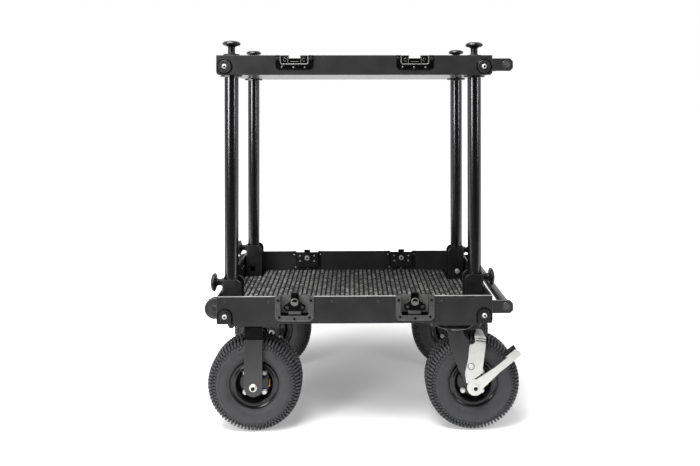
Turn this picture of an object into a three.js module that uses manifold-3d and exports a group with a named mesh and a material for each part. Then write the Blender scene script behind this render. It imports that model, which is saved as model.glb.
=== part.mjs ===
// Camera cart: a carpeted tray on four pneumatic wheels, four folding posts and a lift-off top shelf.
// Millimetres, +Z up. +X runs to the push handles, -Y is the side with the visible brake.
import * as THREE from "three";
import { mergeVertices } from "three/addons/utils/BufferGeometryUtils.js";
import Module from "manifold-3d";

const wasm = await Module();
wasm.setup();

// Clearances
const seatGap = 0.3;
const runningGap = 0.4;
const cutOverrun = 1;

// Facets round a circle
const smallSides = 6;
const pinSides = 8;
const tubeSides = 14;
const rimSides = 20;
const hexSides = 6;
const tyreSides = 28;
const cornerSteps = 3;

// Decks
const deckLength = 755;
const deckDepth = 500;
const deckWall = 4;
const deckCornerRadius = 8;
const floorPlate = 3.7;
const carpetPile = 8.7;
const carpetMargin = 1;
const carpetNotchMargin = 4;
const trayHeight = 75;
const shelfHeight = 54;
const deckSpacing = 605;
const shelfCarpetPile = 6;

// Wheels and casters
const wheelRadius = 130;
const wheelRowInset = 52;
const casterSetback = 99.5;
const casterHeadroom = 43.7;
const casterPlateLength = 139;
const casterPlateWidth = 104;
const casterPlateThickness = 6;
const forkHalfGap = 47;
const forkSheet = 5;
const rigidLegWidth = 50;
const rigidLegJoggle = 3;
const swivelTrail = 50;
const swivelLegEndRadius = 22;
const raceRadius = 45;
const raceHeight = 9.4;
const crownRadius = 51;
const crownThickness = 6;
const kingpinRadius = 8;
const kingpinNutRadius = 13;
const kingpinNutHeight = 9;
const axleRadius = 6;
const axleHeadRadius = 10.5;
const axleHeadHeight = 6;

// Tyre and rim
const tyreBulge = 41;
const tyreSeatHalfWidth = 27.9;
const tyreBeadWidth = 8;
const rimLipRadius = 66;
const rimWellRadius = 52;
const rimSheet = 3;
const rimDiscHalfThickness = 3;
const hubRadius = 17;
const hubHalfLength = 38;

// Brake
const brakeSheet = 4;
const shoeGap = 2.5;
const shoeThickness = 3.5;
const shoeReach = 66;
const pedalTyreGap = 1;
const leverAngleDegrees = 38;
const leverHeadRadius = 22;
const leverNeckWidth = 28;
const leverTipWidth = 18;
const leverPastTyre = 27;
const pedalLength = 37;
const pedalEndInset = 3;
const pedalPlate = 3;
const pedalPad = 5;
const pedalRise = 11.5;
const shoeStartDegrees = 0.7;
const shoeEndDegrees = 13.5;
const shoeSteps = 4;

// Posts and brackets
const postRadius = 19.05;
const postWall = 2;
const postInset = 32;
const postRowInset = 51;
const postLaneGap = 3.9;
const foldClearance = 2;
const postTopGap = 0.6;
const postPinRadius = 5;
const bracketPlate = 4;
const bracketSideGap = 0.6;
const bracketOuterGap = 0.45;
const bracketOuterWall = 3.6;
const bracketReach = 30.5;
const bracketRise = 38;
const bracketCornerRadius = 18;
const bracketBase = 3.7;

// Index plungers and top knobs
const capRadius = 25;
const capThickness = 19;
const plungerRise = 25;
const plungerBarrelRadius = 9;
const plungerBarrelLength = 14;
const plungerPinRadius = 4;
const knobStemRadius = 10;
const knobStemLength = 16.5;
const knobBaseRadius = 23;
const knobBaseHeight = 5;
const knobStudRadius = 5;
const knobStudLength = 30;
const socketRadius = 22;
const socketRise = 2;
const socketFlangeRadius = 30.5;
const socketFlangeThickness = 4;

// Latches on the tray
const latchOffset = 165;
const latchFlangeWidth = 106;
const latchFlangeDrop = 68;
const latchFlangeThickness = 1.5;
const latchCornerRadius = 14;
const latchRecessWidth = 76;
const latchRecessDrop = 53;
const latchRecessDepth = 15;
const latchSheet = 1.3;
const latchStrikeWidth = 34;
const latchStrikeHeight = 10;
const latchStrikeThickness = 3;
const wingTurnDrop = 17;
const wingBarrelRadius = 10.5;
const wingBarrelLength = 9.6;
const wingBarrelInset = 0.8;
const wingThickness = 4;
const wingLobeRadius = 9.5;
const wingLobeSide = 20.8;
const wingLobeDrop = 15;
const wingHoleRadius = 4.5;
const wingSpindleRadius = 4;
const hookWidth = 21;
const hookThickness = 4;
const hookRise = 7;
const hookDrop = 27;
const hookSlotWidth = 10;
const hookSlotTop = 7;
const hookNose = 3.2;

// Catches on the shelf
const catchWidth = 104;
const catchDrop = 39;
const catchThickness = 2;
const catchCornerRadius = 12;
const catchRecessWidth = 76;
const catchRecessDrop = 25;
const catchRecessDepth = 9;
const catchNotchWidth = 31;
const catchNotchDrop = 8;

// Corner bosses
const bossRadius = 19;
const bossThickness = 3;
const bossInset = 22.5;
const trayBossRise = 21;
const shelfBossDrop = 31;

// Push handles
const armHeight = 34.5;
const armThickness = 8;
const armReach = 57;
const armChamfer = 8;
const handleTubeRadius = 12.7;
const handleTubeSetback = 17;
const handleTubeProud = 0.8;
const trayHandleDrop = 32;
const shelfHandleDrop = 26;

// Loading rollers
const rollerRadius = 28.5;
const rollerWidth = 16;
const rollerOverhang = 5.5;
const rollerDrop = 34;
const rollerPinRadius = 5;
const rollerEarThickness = 4;
const rollerEarRadius = 12;
const rollerWindowMargin = 1.5;

// A faceted hole's corner radius, so that its flats clear a bar at any turn
const clearing = (radius, gap, sides) => (radius + gap) / Math.cos(Math.PI / sides);
const runningHole = (radius) => clearing(radius, runningGap, pinSides);

// Places that follow from the sizes above
const halfLength = deckLength / 2;
const halfDepth = deckDepth / 2;
const trayUnderside = 2 * wheelRadius + casterHeadroom + seatGap;
const trayRim = trayUnderside + trayHeight;
const trayCarpetTop = trayUnderside + floorPlate + seatGap * 2 + carpetPile;
const shelfUnderside = trayRim + deckSpacing;
const shelfRim = shelfUnderside + shelfHeight;
const postX = halfLength - postInset;
const leftPostRow = halfDepth - postRowInset;
const rightPostRow = leftPostRow - 2 * postRadius - postLaneGap;
const pivotHeight = trayCarpetTop + postRadius + foldClearance;
const postTop = shelfUnderside - socketFlangeThickness - postTopGap;
const casterX = halfLength - casterSetback;
const wheelRow = halfDepth - wheelRowInset;
const leverLength = wheelRadius + leverPastTyre;
const pedalEnd = leverLength - pedalEndInset;
const pedalStart = pedalEnd - pedalLength;
const casterPlateTop = trayUnderside - seatGap;
const casterPlateBottom = casterPlateTop - casterPlateThickness;
const raceBottom = casterPlateBottom - raceHeight;
const crownTop = raceBottom - seatGap;
const crownBottom = crownTop - crownThickness;
const forkOuter = forkHalfGap + forkSheet;
const brakePlateInner = forkOuter + runningGap;
const brakePlateOuter = brakePlateInner + brakeSheet;
const leverInner = brakePlateOuter + runningGap;
const leverOuter = leverInner + brakeSheet;
const bracketHalfWidth = postRadius + bracketSideGap + bracketPlate;
const bracketOuter = postRadius + bracketOuterGap + bracketOuterWall;
const bracketBottom = trayUnderside + floorPlate + seatGap * 2;
const bracketTop = trayRim + bracketRise;
const plungerHeight = trayRim + plungerRise;
const socketTop = shelfRim + socketRise;

// Finishes
const finish = (color, roughness, metalness) =>
  new THREE.MeshStandardMaterial({ color, roughness, metalness });
const powderCoat = finish("#3b3b3c", 0.5, 0.3);
const blackCoat = finish("#242425", 0.45, 0.3);
const anodisedTube = finish("#2a2a2b", 0.3, 0.7);
const carpetPileFinish = finish("#4a4a4a", 0.98, 0);
const zincSteel = finish("#d6d6d6", 0.35, 0.8);
const latchSteel = finish("#5b5b5b", 0.4, 0.6);
const moulded = finish("#1e1e1f", 0.4, 0);
const tyreRubber = finish("#39393b", 0.85, 0);
const rimEnamel = finish("#161617", 0.25, 0.3);

// Closed meshes and solids

function closedMesh(geometry) {
  const bare = geometry.index ? geometry.toNonIndexed() : geometry.clone();
  bare.deleteAttribute("normal");
  bare.deleteAttribute("uv");
  const merged = mergeVertices(bare);
  const corners = merged.getAttribute("position").array;
  const kept = [];
  for (let i = 0; i < merged.index.count; i += 3) {
    const [a, b, c] = [0, 1, 2].map((k) => merged.index.getX(i + k));
    if (a !== b && b !== c && c !== a) kept.push(a, b, c);
  }
  return { corners, faces: kept };
}

function enclosedVolume({ corners, faces }) {
  const [a, b, c] = [new THREE.Vector3(), new THREE.Vector3(), new THREE.Vector3()];
  let total = 0;
  for (let i = 0; i < faces.length; i += 3) {
    a.fromArray(corners, faces[i] * 3);
    b.fromArray(corners, faces[i + 1] * 3);
    c.fromArray(corners, faces[i + 2] * 3);
    total += a.dot(b.cross(c));
  }
  return total;
}

function solid(geometry) {
  const mesh = closedMesh(geometry);
  if (enclosedVolume(mesh) < 0) mesh.faces.reverse();
  const description = {
    numProp: 3,
    vertProperties: Float32Array.from(mesh.corners),
    triVerts: Uint32Array.from(mesh.faces),
  };
  return new wasm.Manifold(new wasm.Mesh(description));
}

const join = (pieces) => pieces.reduce((sum, piece) => sum.add(piece));
const cut = (body, cutters) => cutters.reduce((rest, cutter) => rest.subtract(cutter), body);

function surface(body) {
  const { vertProperties, triVerts, numProp } = body.getMesh();
  const geometry = new THREE.BufferGeometry();
  const corners = new Float32Array((vertProperties.length / numProp) * 3);
  for (let i = 0; i < corners.length / 3; i += 1) {
    for (let k = 0; k < 3; k += 1) corners[i * 3 + k] = vertProperties[i * numProp + k];
  }
  geometry.setAttribute("position", new THREE.BufferAttribute(corners, 3));
  geometry.setIndex(Array.from(triVerts));
  geometry.computeVertexNormals();
  return geometry;
}

// Simple bodies, each given by its spans along X, Y and Z

const middle = ([low, high]) => (low + high) / 2;
const lengthOf = ([low, high]) => high - low;
const span = (a, b) => [Math.min(a, b), Math.max(a, b)];
const around = (centre, half) => [centre - half, centre + half];

function block(x, y, z) {
  const box = new THREE.BoxGeometry(lengthOf(x), lengthOf(y), lengthOf(z));
  return solid(box.translate(middle(x), middle(y), middle(z)));
}

function roundBar(axis, radius, along, centre, sides) {
  const bar = new THREE.CylinderGeometry(radius, radius, lengthOf(along), sides);
  const mid = middle(along);
  if (axis === "x") bar.rotateZ(-Math.PI / 2).translate(mid, centre[0], centre[1]);
  if (axis === "y") bar.translate(centre[0], mid, centre[1]);
  if (axis === "z") bar.rotateX(Math.PI / 2).translate(centre[0], centre[1], mid);
  return solid(bar);
}

const barX = (radius, x, y, z, sides = pinSides) => roundBar("x", radius, x, [y, z], sides);
const barY = (radius, x, y, z, sides = pinSides) => roundBar("y", radius, y, [x, z], sides);
const barZ = (radius, x, y, z, sides = pinSides) => roundBar("z", radius, z, [x, y], sides);

// An outline in X and Z, given thickness along Y
function sheet(outline, y) {
  const shape = outline instanceof THREE.Shape ? outline : outlineOf(outline);
  const slab = new THREE.ExtrudeGeometry(shape, {
    depth: lengthOf(y),
    bevelEnabled: false,
    curveSegments: cornerSteps,
  });
  return solid(slab.rotateX(Math.PI / 2).translate(0, y[1], 0));
}

function outlineOf(points) {
  return new THREE.Shape(points.map(([x, z]) => new THREE.Vector2(x, z)));
}

// A rectangle whose two lower corners are rounded
function roundFootedOutline(x, z, radius) {
  const shape = new THREE.Shape();
  shape.moveTo(x[0], z[1]);
  shape.lineTo(x[0], z[0] + radius);
  shape.absarc(x[0] + radius, z[0] + radius, radius, Math.PI, Math.PI * 1.5);
  shape.lineTo(x[1] - radius, z[0]);
  shape.absarc(x[1] - radius, z[0] + radius, radius, -Math.PI / 2, 0);
  shape.lineTo(x[1], z[1]);
  shape.closePath();
  return shape;
}

// A closed profile of [radius, distance along the axis] turned round Y
function turned(profile, sides) {
  const points = [...profile, profile[0]].map(([r, y]) => new THREE.Vector2(r, y));
  return solid(new THREE.LatheGeometry(points, sides));
}

// Mushroom cap: shares of the cap's radius and of its thickness, from the neck to the crown
const capOutlineShares = [
  [0, 0],
  [0.42, 0],
  [1, 0.45],
  [0.97, 0.65],
  [0.7, 0.92],
  [0, 1],
];

function mushroomCap(start) {
  const outline = capOutlineShares.map(([r, h]) => new THREE.Vector2(r * capRadius, h * capThickness));
  return solid(new THREE.LatheGeometry(outline, tubeSides).rotateX(Math.PI / 2).translate(0, 0, start));
}

// Lower tray

const latchPlaces = [
  { name: "front_left", x: -latchOffset, turn: 0 },
  { name: "front_right", x: latchOffset, turn: 0 },
  { name: "rear_left", x: -latchOffset, turn: Math.PI },
  { name: "rear_right", x: latchOffset, turn: Math.PI },
];

function panels(bottom, rim) {
  const outline = roundFootedOutline(span(-halfLength, halfLength), [bottom, rim], deckCornerRadius);
  const inside = block(
    around(0, halfLength - deckWall),
    around(0, halfDepth - deckWall),
    [bottom - cutOverrun, rim + cutOverrun],
  );
  return cut(sheet(outline, around(0, halfDepth)), [inside]);
}

function trayBosses() {
  const centre = trayUnderside + trayBossRise;
  const bosses = [];
  for (const end of [-1, 1]) {
    const x = end * (halfLength - bossInset);
    const arch = new THREE.Shape();
    arch.moveTo(x - bossRadius, trayUnderside);
    arch.lineTo(x + bossRadius, trayUnderside);
    arch.lineTo(x + bossRadius, centre);
    arch.absarc(x, centre, bossRadius, 0, Math.PI);
    arch.closePath();
    for (const side of [-1, 1]) {
      bosses.push(sheet(arch, span(side * (halfDepth - deckWall / 2), side * (halfDepth + bossThickness))));
    }
  }
  return bosses;
}

const rollerX = -halfLength - rollerOverhang;
const rollerHeight = trayRim - rollerDrop;
const rollerOuterFace = halfDepth - deckWall - seatGap;
const rollerInnerFace = rollerOuterFace - rollerWidth;
const rollerEarFace = rollerInnerFace - runningGap;

function rollerMounts() {
  const pieces = [];
  for (const side of [-1, 1]) {
    const ear = new THREE.Shape();
    ear.moveTo(-halfLength + deckWall, rollerHeight - rollerEarRadius);
    ear.lineTo(-halfLength + deckWall, rollerHeight + rollerEarRadius);
    ear.lineTo(rollerX, rollerHeight + rollerEarRadius);
    ear.absarc(rollerX, rollerHeight, rollerEarRadius, Math.PI / 2, Math.PI * 1.5);
    ear.closePath();
    const inner = rollerEarFace - rollerEarThickness;
    pieces.push(sheet(ear, span(side * rollerEarFace, side * inner)));
    pieces.push(barY(rollerPinRadius, rollerX, span(side * inner, side * rollerOuterFace), rollerHeight));
  }
  return pieces;
}

function rollerWindows() {
  const z = around(rollerHeight, rollerRadius + rollerWindowMargin);
  return [-1, 1].map((side) =>
    block(
      span(-halfLength - cutOverrun, -halfLength + deckWall + cutOverrun),
      span(side * rollerEarFace, side * (halfDepth - deckWall)),
      z,
    ),
  );
}

function trayFrame() {
  const notches = [];
  for (const x of [-latchOffset, latchOffset]) {
    const half = latchRecessWidth / 2 + latchSheet + seatGap;
    const bottom = trayRim - latchRecessDrop - latchSheet - seatGap;
    for (const side of [-1, 1]) {
      const y = span(side * (halfDepth - deckWall - cutOverrun), side * (halfDepth + cutOverrun));
      notches.push(block(around(x, half), y, [bottom, trayRim + cutOverrun]));
    }
  }
  const shell = cut(panels(trayUnderside, trayRim), [...notches, ...rollerWindows()]);
  return join([shell, ...trayBosses(), ...rollerMounts()]);
}

const floorHalfLength = halfLength - deckWall - seatGap;
const floorHalfDepth = halfDepth - deckWall - seatGap;

function trayFloor() {
  const z = [trayUnderside + seatGap, trayUnderside + seatGap + floorPlate];
  return block(around(0, floorHalfLength), around(0, floorHalfDepth), z);
}

function trayCarpet() {
  const top = trayCarpetTop;
  const z = [top - carpetPile, top];
  const mat = block(
    around(0, floorHalfLength - carpetMargin),
    around(0, floorHalfDepth - carpetMargin),
    z,
  );
  const notchZ = [z[0] - cutOverrun, z[1] + cutOverrun];
  const notches = [];
  for (const end of [-1, 1]) {
    const row = end < 0 ? leftPostRow : rightPostRow;
    const x = span(end * (postX - bracketReach - carpetNotchMargin), end * halfLength);
    for (const side of [-1, 1]) {
      const y = span(side * (row - bracketHalfWidth - carpetNotchMargin), side * halfDepth);
      notches.push(block(x, y, notchZ));
    }
  }
  return cut(mat, notches);
}

// Top shelf

const postPlaces = [
  { name: "front_left", x: -postX, y: -leftPostRow, turn: Math.PI },
  { name: "front_right", x: postX, y: -rightPostRow, turn: 0 },
  { name: "rear_left", x: -postX, y: leftPostRow, turn: Math.PI },
  { name: "rear_right", x: postX, y: rightPostRow, turn: 0 },
];

function shelfCatch(x, side) {
  const flangeZ = [shelfRim - catchDrop, shelfRim];
  const outline = roundFootedOutline(around(x, catchWidth / 2), flangeZ, catchCornerRadius);
  const outside = side * (halfDepth + catchThickness);
  const back = side * (halfDepth - catchRecessDepth);
  const flange = sheet(outline, span(outside, side * (halfDepth - deckWall / 2)));
  const recessZ = [shelfRim - catchRecessDrop, shelfRim];
  const wallZ = [recessZ[0] - latchSheet, shelfRim];
  const tub = block(around(x, catchRecessWidth / 2 + latchSheet), span(side * halfDepth, back), wallZ);
  const backInner = side * (halfDepth - catchRecessDepth + latchSheet);
  const recess = block(
    around(x, catchRecessWidth / 2),
    span(outside + side * cutOverrun, backInner),
    [recessZ[0], shelfRim + cutOverrun],
  );
  const notch = block(
    around(x, catchNotchWidth / 2),
    span(outside + side * cutOverrun, back - side * cutOverrun),
    [shelfRim - catchNotchDrop, shelfRim + cutOverrun],
  );
  return { add: [flange, tub], remove: [recess, notch] };
}

function shelfFrame() {
  const catches = [];
  for (const x of [-latchOffset, latchOffset]) {
    for (const side of [-1, 1]) catches.push(shelfCatch(x, side));
  }
  const bosses = [];
  for (const end of [-1, 1]) {
    for (const side of [-1, 1]) {
      const x = end * (halfLength - bossInset);
      const y = span(side * (halfDepth - deckWall / 2), side * (halfDepth + bossThickness));
      bosses.push(barY(bossRadius, x, y, shelfRim - shelfBossDrop, tubeSides));
    }
  }
  const whole = join([panels(shelfUnderside, shelfRim), ...bosses, ...catches.flatMap((item) => item.add)]);
  return cut(whole, catches.flatMap((item) => item.remove));
}

function shelfFloor() {
  const z = [shelfUnderside + seatGap, shelfUnderside + seatGap + floorPlate];
  const plate = block(around(0, floorHalfLength), around(0, floorHalfDepth), z);
  const flangeZ = [shelfUnderside - socketFlangeThickness, shelfUnderside - seatGap];
  const sockets = postPlaces.flatMap(({ x, y }) => [
    barZ(socketFlangeRadius, x, y, flangeZ, tubeSides),
    barZ(socketRadius, x, y, [middle(flangeZ), socketTop], tubeSides),
  ]);
  const bores = postPlaces.map(({ x, y }) =>
    barZ(runningHole(knobStudRadius), x, y, [flangeZ[0] - cutOverrun, socketTop + cutOverrun]),
  );
  return cut(join([plate, ...sockets]), bores);
}

function shelfCarpet() {
  const bottom = shelfUnderside + seatGap * 2 + floorPlate;
  const z = [bottom, bottom + shelfCarpetPile];
  const mat = block(
    around(0, floorHalfLength - carpetMargin),
    around(0, floorHalfDepth - carpetMargin),
    z,
  );
  const holes = postPlaces.map(({ x, y }) =>
    barZ(socketRadius + carpetMargin, x, y, [z[0] - cutOverrun, z[1] + cutOverrun], tubeSides),
  );
  return cut(mat, holes);
}

function topKnob() {
  const stemBottom = knobBaseHeight;
  const capStart = knobBaseHeight + knobStemLength;
  return join([
    barZ(knobStudRadius, 0, 0, [-knobStudLength, stemBottom]),
    barZ(knobBaseRadius, 0, 0, [0, knobBaseHeight], tubeSides),
    barZ(knobStemRadius, 0, 0, [stemBottom - seatGap, capStart + seatGap]),
    mushroomCap(capStart),
  ]);
}

// Posts, their brackets and index plungers; the outer side of each is +X here

function post() {
  const height = postTop - pivotHeight;
  const tube = barZ(postRadius, 0, 0, [-postRadius, height], tubeSides);
  const foot = barY(postRadius, 0, around(0, postRadius + cutOverrun), 0, tubeSides);
  const upper = block(
    around(0, postRadius + cutOverrun),
    around(0, postRadius + cutOverrun),
    [0, height + cutOverrun],
  );
  const bore = barZ(postRadius - postWall, 0, 0, [postRadius, height + cutOverrun], tubeSides);
  const pinHole = barY(runningHole(postPinRadius), 0, around(0, postRadius + cutOverrun), 0);
  return cut(tube.intersect(foot.add(upper)), [bore, pinHole]);
}

function postBracket() {
  const bottom = bracketBottom - pivotHeight;
  const top = bracketTop - pivotHeight;
  const cheek = new THREE.Shape();
  cheek.moveTo(-bracketReach, bottom);
  cheek.lineTo(bracketOuter, bottom);
  cheek.lineTo(bracketOuter, top);
  cheek.lineTo(-bracketReach + bracketCornerRadius, top);
  cheek.absarc(-bracketReach + bracketCornerRadius, top - bracketCornerRadius, bracketCornerRadius,
    Math.PI / 2, Math.PI);
  cheek.closePath();
  const inner = bracketHalfWidth - bracketPlate;
  const cheeks = [-1, 1].map((side) => sheet(cheek, span(side * inner, side * bracketHalfWidth)));
  const outerX = span(bracketOuter - bracketOuterWall, bracketOuter);
  const outerWall = block(outerX, around(0, bracketHalfWidth), [bottom, top]);
  const base = block(
    span(-bracketReach, bracketOuter),
    around(0, bracketHalfWidth),
    [bottom, bottom + bracketBase],
  );
  const pin = barY(postPinRadius, 0, around(0, bracketHalfWidth), 0);
  const plungerZ = plungerHeight - pivotHeight;
  const barrelX = [bracketOuter - bracketOuterWall / 2, bracketOuter + plungerBarrelLength];
  const barrel = barX(plungerBarrelRadius, barrelX, 0, plungerZ);
  const bore = barX(
    runningHole(plungerPinRadius),
    [bracketOuter - bracketOuterWall - cutOverrun, bracketOuter + plungerBarrelLength + cutOverrun],
    0,
    plungerZ,
  );
  return cut(join([...cheeks, outerWall, base, pin, barrel]), [bore]);
}

function indexPlunger() {
  const capStart = bracketOuter + plungerBarrelLength + runningGap;
  const cap = mushroomCap(0).rotate([0, 90, 0]).translate([capStart, 0, 0]);
  const pin = barX(plungerPinRadius, [postRadius + runningGap, capStart + capThickness / 2], 0, 0);
  return join([cap, pin]);
}

// Butterfly latches, seen with the outer face of the panel at Y = 0 and the rim at Z = 0

const latchBack = latchRecessDepth;

function latchDish() {
  const flangeOuter = -latchFlangeThickness - seatGap;
  const flange = sheet(
    roundFootedOutline(around(0, latchFlangeWidth / 2), [-latchFlangeDrop, 0], latchCornerRadius),
    [flangeOuter, -seatGap],
  );
  const tub = block(
    around(0, latchRecessWidth / 2 + latchSheet),
    [-seatGap - latchFlangeThickness / 2, latchBack + latchSheet],
    [-latchRecessDrop - latchSheet, 0],
  );
  const recess = block(
    around(0, latchRecessWidth / 2),
    [flangeOuter - cutOverrun, latchBack],
    [-latchRecessDrop, cutOverrun],
  );
  const strike = block(
    around(0, latchStrikeWidth / 2),
    [latchBack - latchStrikeThickness, latchBack + latchSheet / 2],
    [-latchRecessDrop - latchSheet / 2, -latchRecessDrop + latchStrikeHeight],
  );
  return join([cut(flange.add(tub), [recess]), strike]);
}

function latchWing() {
  const front = wingBarrelInset;
  const barrelBack = front + wingBarrelLength;
  const plateY = [front + wingThickness / 2, front + wingThickness * 1.5];
  const lobes = [-1, 1].map((side) => [side * wingLobeSide, -wingLobeDrop]);
  const web = outlineOf([
    [-wingLobeSide, -wingLobeDrop - wingLobeRadius],
    [wingLobeSide, -wingLobeDrop - wingLobeRadius],
    [wingBarrelRadius, 0],
    [-wingBarrelRadius, 0],
  ]);
  const wing = join([
    sheet(web, plateY),
    ...lobes.map(([x, z]) => barY(wingLobeRadius, x, plateY, z)),
    barY(wingBarrelRadius, 0, [front, barrelBack], 0, tubeSides),
    barY(wingSpindleRadius, 0, [barrelBack - seatGap, latchBack - seatGap], 0),
  ]);
  const cutY = [plateY[0] - cutOverrun, plateY[1] + cutOverrun];
  return cut(wing, lobes.map(([x, z]) => barY(wingHoleRadius, x, cutY, z, smallSides)));
}

function latchHook() {
  const back = latchBack - seatGap;
  const front = back - hookThickness;
  const plate = block(around(0, hookWidth / 2), [front, back], [-hookDrop, hookRise]);
  const nose = block(around(0, hookWidth / 2), [front - hookNose, back], [hookRise - hookNose, hookRise]);
  const slot = block(
    around(0, hookSlotWidth / 2),
    [front - cutOverrun, back + cutOverrun],
    [-hookDrop - cutOverrun, -hookSlotTop],
  );
  return cut(plate.add(nose), [slot]);
}

// Push handles

function pushHandle() {
  const bottom = -armHeight / 2;
  const top = armHeight / 2;
  const outline = outlineOf([
    [seatGap, bottom],
    [armReach - armChamfer, bottom],
    [armReach, bottom + armChamfer],
    [armReach, top - armChamfer],
    [armReach - armChamfer, top],
    [seatGap, top],
  ]);
  const outer = halfDepth - seatGap;
  const arms = [-1, 1].map((side) => sheet(outline, span(side * outer, side * (outer - armThickness))));
  const tube = barY(
    handleTubeRadius,
    armReach - handleTubeSetback,
    around(0, outer + handleTubeProud),
    0,
    tubeSides,
  );
  return join([...arms, tube]);
}

function loadingRoller() {
  const tyre = barY(rollerRadius, 0, around(0, rollerWidth / 2), 0, tubeSides);
  return cut(tyre, [barY(runningHole(rollerPinRadius), 0, around(0, rollerWidth / 2 + cutOverrun), 0)]);
}

// Casters, with the axle's place at the origin of the wheel pieces

function casterPlate() {
  return block(
    around(0, casterPlateLength / 2),
    around(0, casterPlateWidth / 2),
    [casterPlateBottom, casterPlateTop],
  );
}

function rigidFork() {
  const legs = [-1, 1].map((side) => {
    const outline = new THREE.Shape();
    outline.moveTo(-rigidLegWidth / 2, 2 * wheelRadius);
    outline.lineTo(-rigidLegWidth / 2, wheelRadius);
    outline.absarc(0, wheelRadius, rigidLegWidth / 2, Math.PI, 2 * Math.PI);
    outline.lineTo(rigidLegWidth / 2, 2 * wheelRadius);
    outline.closePath();
    const leg = sheet(outline, span(side * forkHalfGap, side * forkOuter));
    const neck = block(
      around(0, rigidLegWidth / 2),
      span(side * (forkHalfGap - rigidLegJoggle), side * (forkOuter - rigidLegJoggle)),
      [2 * wheelRadius - forkSheet, casterPlateBottom + seatGap],
    );
    return leg.add(neck);
  });
  const hole = barY(runningHole(axleRadius), 0, around(0, forkOuter + cutOverrun), wheelRadius);
  return cut(join([casterPlate(), ...legs]), [hole]);
}

function swivelPlate() {
  const nutTop = crownBottom - seatGap;
  return join([
    casterPlate(),
    barZ(raceRadius, 0, 0, [raceBottom, casterPlateBottom + seatGap], tubeSides),
    barZ(kingpinRadius, 0, 0, [nutTop - kingpinNutHeight, casterPlateBottom]),
    barZ(kingpinNutRadius, 0, 0, [nutTop - kingpinNutHeight, nutTop], pinSides),
  ]);
}

// Edges of the raked leg: shares of the trail along X, and of the height from the axle to the crown
const legFrontEdgeShares = [
  [0.56, 0],
  [0.21, 0.22],
  [-0.13, 0.5],
  [-0.52, 0.96],
  [-0.52, 1],
];
const legRearEdgeShares = [
  [0.36, 1],
  [0.36, 0.94],
  [0.71, 0.75],
  [1.4, 0.13],
];

function swivelFork() {
  const rise = crownTop - wheelRadius;
  const edge = (shares) => shares.map(([x, z]) => [x * swivelTrail, wheelRadius + z * rise]);
  const legs = [-1, 1].flatMap((side) => {
    const y = span(side * forkHalfGap, side * forkOuter);
    return [
      sheet([...edge(legFrontEdgeShares), ...edge(legRearEdgeShares)], y),
      barY(swivelLegEndRadius, swivelTrail, y, wheelRadius, tubeSides),
    ];
  });
  const bridgeX = [legFrontEdgeShares.at(-1)[0] * swivelTrail, legRearEdgeShares[0][0] * swivelTrail];
  const bridge = block(bridgeX, around(0, forkOuter), [crownBottom, crownTop]);
  const crown = barZ(crownRadius, 0, 0, [crownBottom, crownTop], tubeSides);
  const crownCut = [crownBottom - cutOverrun, crownTop + cutOverrun];
  const kingpinHole = barZ(runningHole(kingpinRadius), 0, 0, crownCut);
  const legCut = around(0, forkOuter + cutOverrun);
  const axleHole = barY(runningHole(axleRadius), swivelTrail, legCut, wheelRadius);
  return cut(join([crown, bridge, ...legs]), [kingpinHole, axleHole]);
}

function axle(frontFace) {
  const back = forkOuter + seatGap;
  const front = frontFace + seatGap;
  return join([
    barY(axleRadius, 0, [-front - axleHeadHeight / 2, back + axleHeadHeight / 2], 0),
    barY(axleHeadRadius, 0, [-front - axleHeadHeight, -front], 0),
    barY(axleHeadRadius, 0, [back, back + axleHeadHeight], 0, hexSides),
  ]);
}

// Sidewall of the tyre: shares of the wheel radius, and of the bulge at the widest place
const tyreWallShares = [
  [0.58, 0.9],
  [0.73, 1],
  [0.88, 0.92],
  [0.965, 0.68],
  [1, 0.3],
];
// The air space inside the casing, in the same shares
const tyreAirShares = [
  [0.9, 0.3],
  [0.82, 0.72],
  [0.66, 0.76],
];

function tyre() {
  const seat = clearing(rimWellRadius, seatGap, tyreSides);
  const sized = ([r, y]) => [r * wheelRadius, y * tyreBulge];
  const bead = [
    [seat, tyreSeatHalfWidth - tyreBeadWidth],
    [seat, tyreSeatHalfWidth],
    [clearing(rimLipRadius, seatGap, tyreSides), tyreSeatHalfWidth],
  ];
  const half = [...tyreAirShares.map(sized), ...bead, ...tyreWallShares.map(sized)];
  const mirrored = half.map(([r, y]) => [r, -y]).reverse();
  return turned([...half, ...mirrored], tyreSides);
}

function rim() {
  const lipInner = tyreSeatHalfWidth + seatGap;
  const lipOuter = lipInner + rimSheet;
  const inside = rimWellRadius - rimSheet;
  const half = [
    [clearing(axleRadius, runningGap, rimSides), hubHalfLength],
    [hubRadius, hubHalfLength],
    [hubRadius, rimDiscHalfThickness],
    [inside, rimDiscHalfThickness],
    [inside, lipOuter],
    [rimLipRadius, lipOuter],
    [rimLipRadius, lipInner],
    [rimWellRadius, lipInner],
  ];
  const mirrored = half.map(([r, y]) => [r, -y]).reverse();
  return turned([...half, ...mirrored], rimSides);
}

// Brake: shares of the wheel radius from the axle, seen from the braked side
const brakePlateShares = [
  [-0.108, 0.892],
  [-0.015, 0.892],
  [0.012, 1.04],
  [0.243, 1.01],
  [0.154, 0.285],
  [0.04, 0.2],
  [-0.177, 0.058],
  [-0.208, 0.277],
  [-0.138, 0.585],
];

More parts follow.
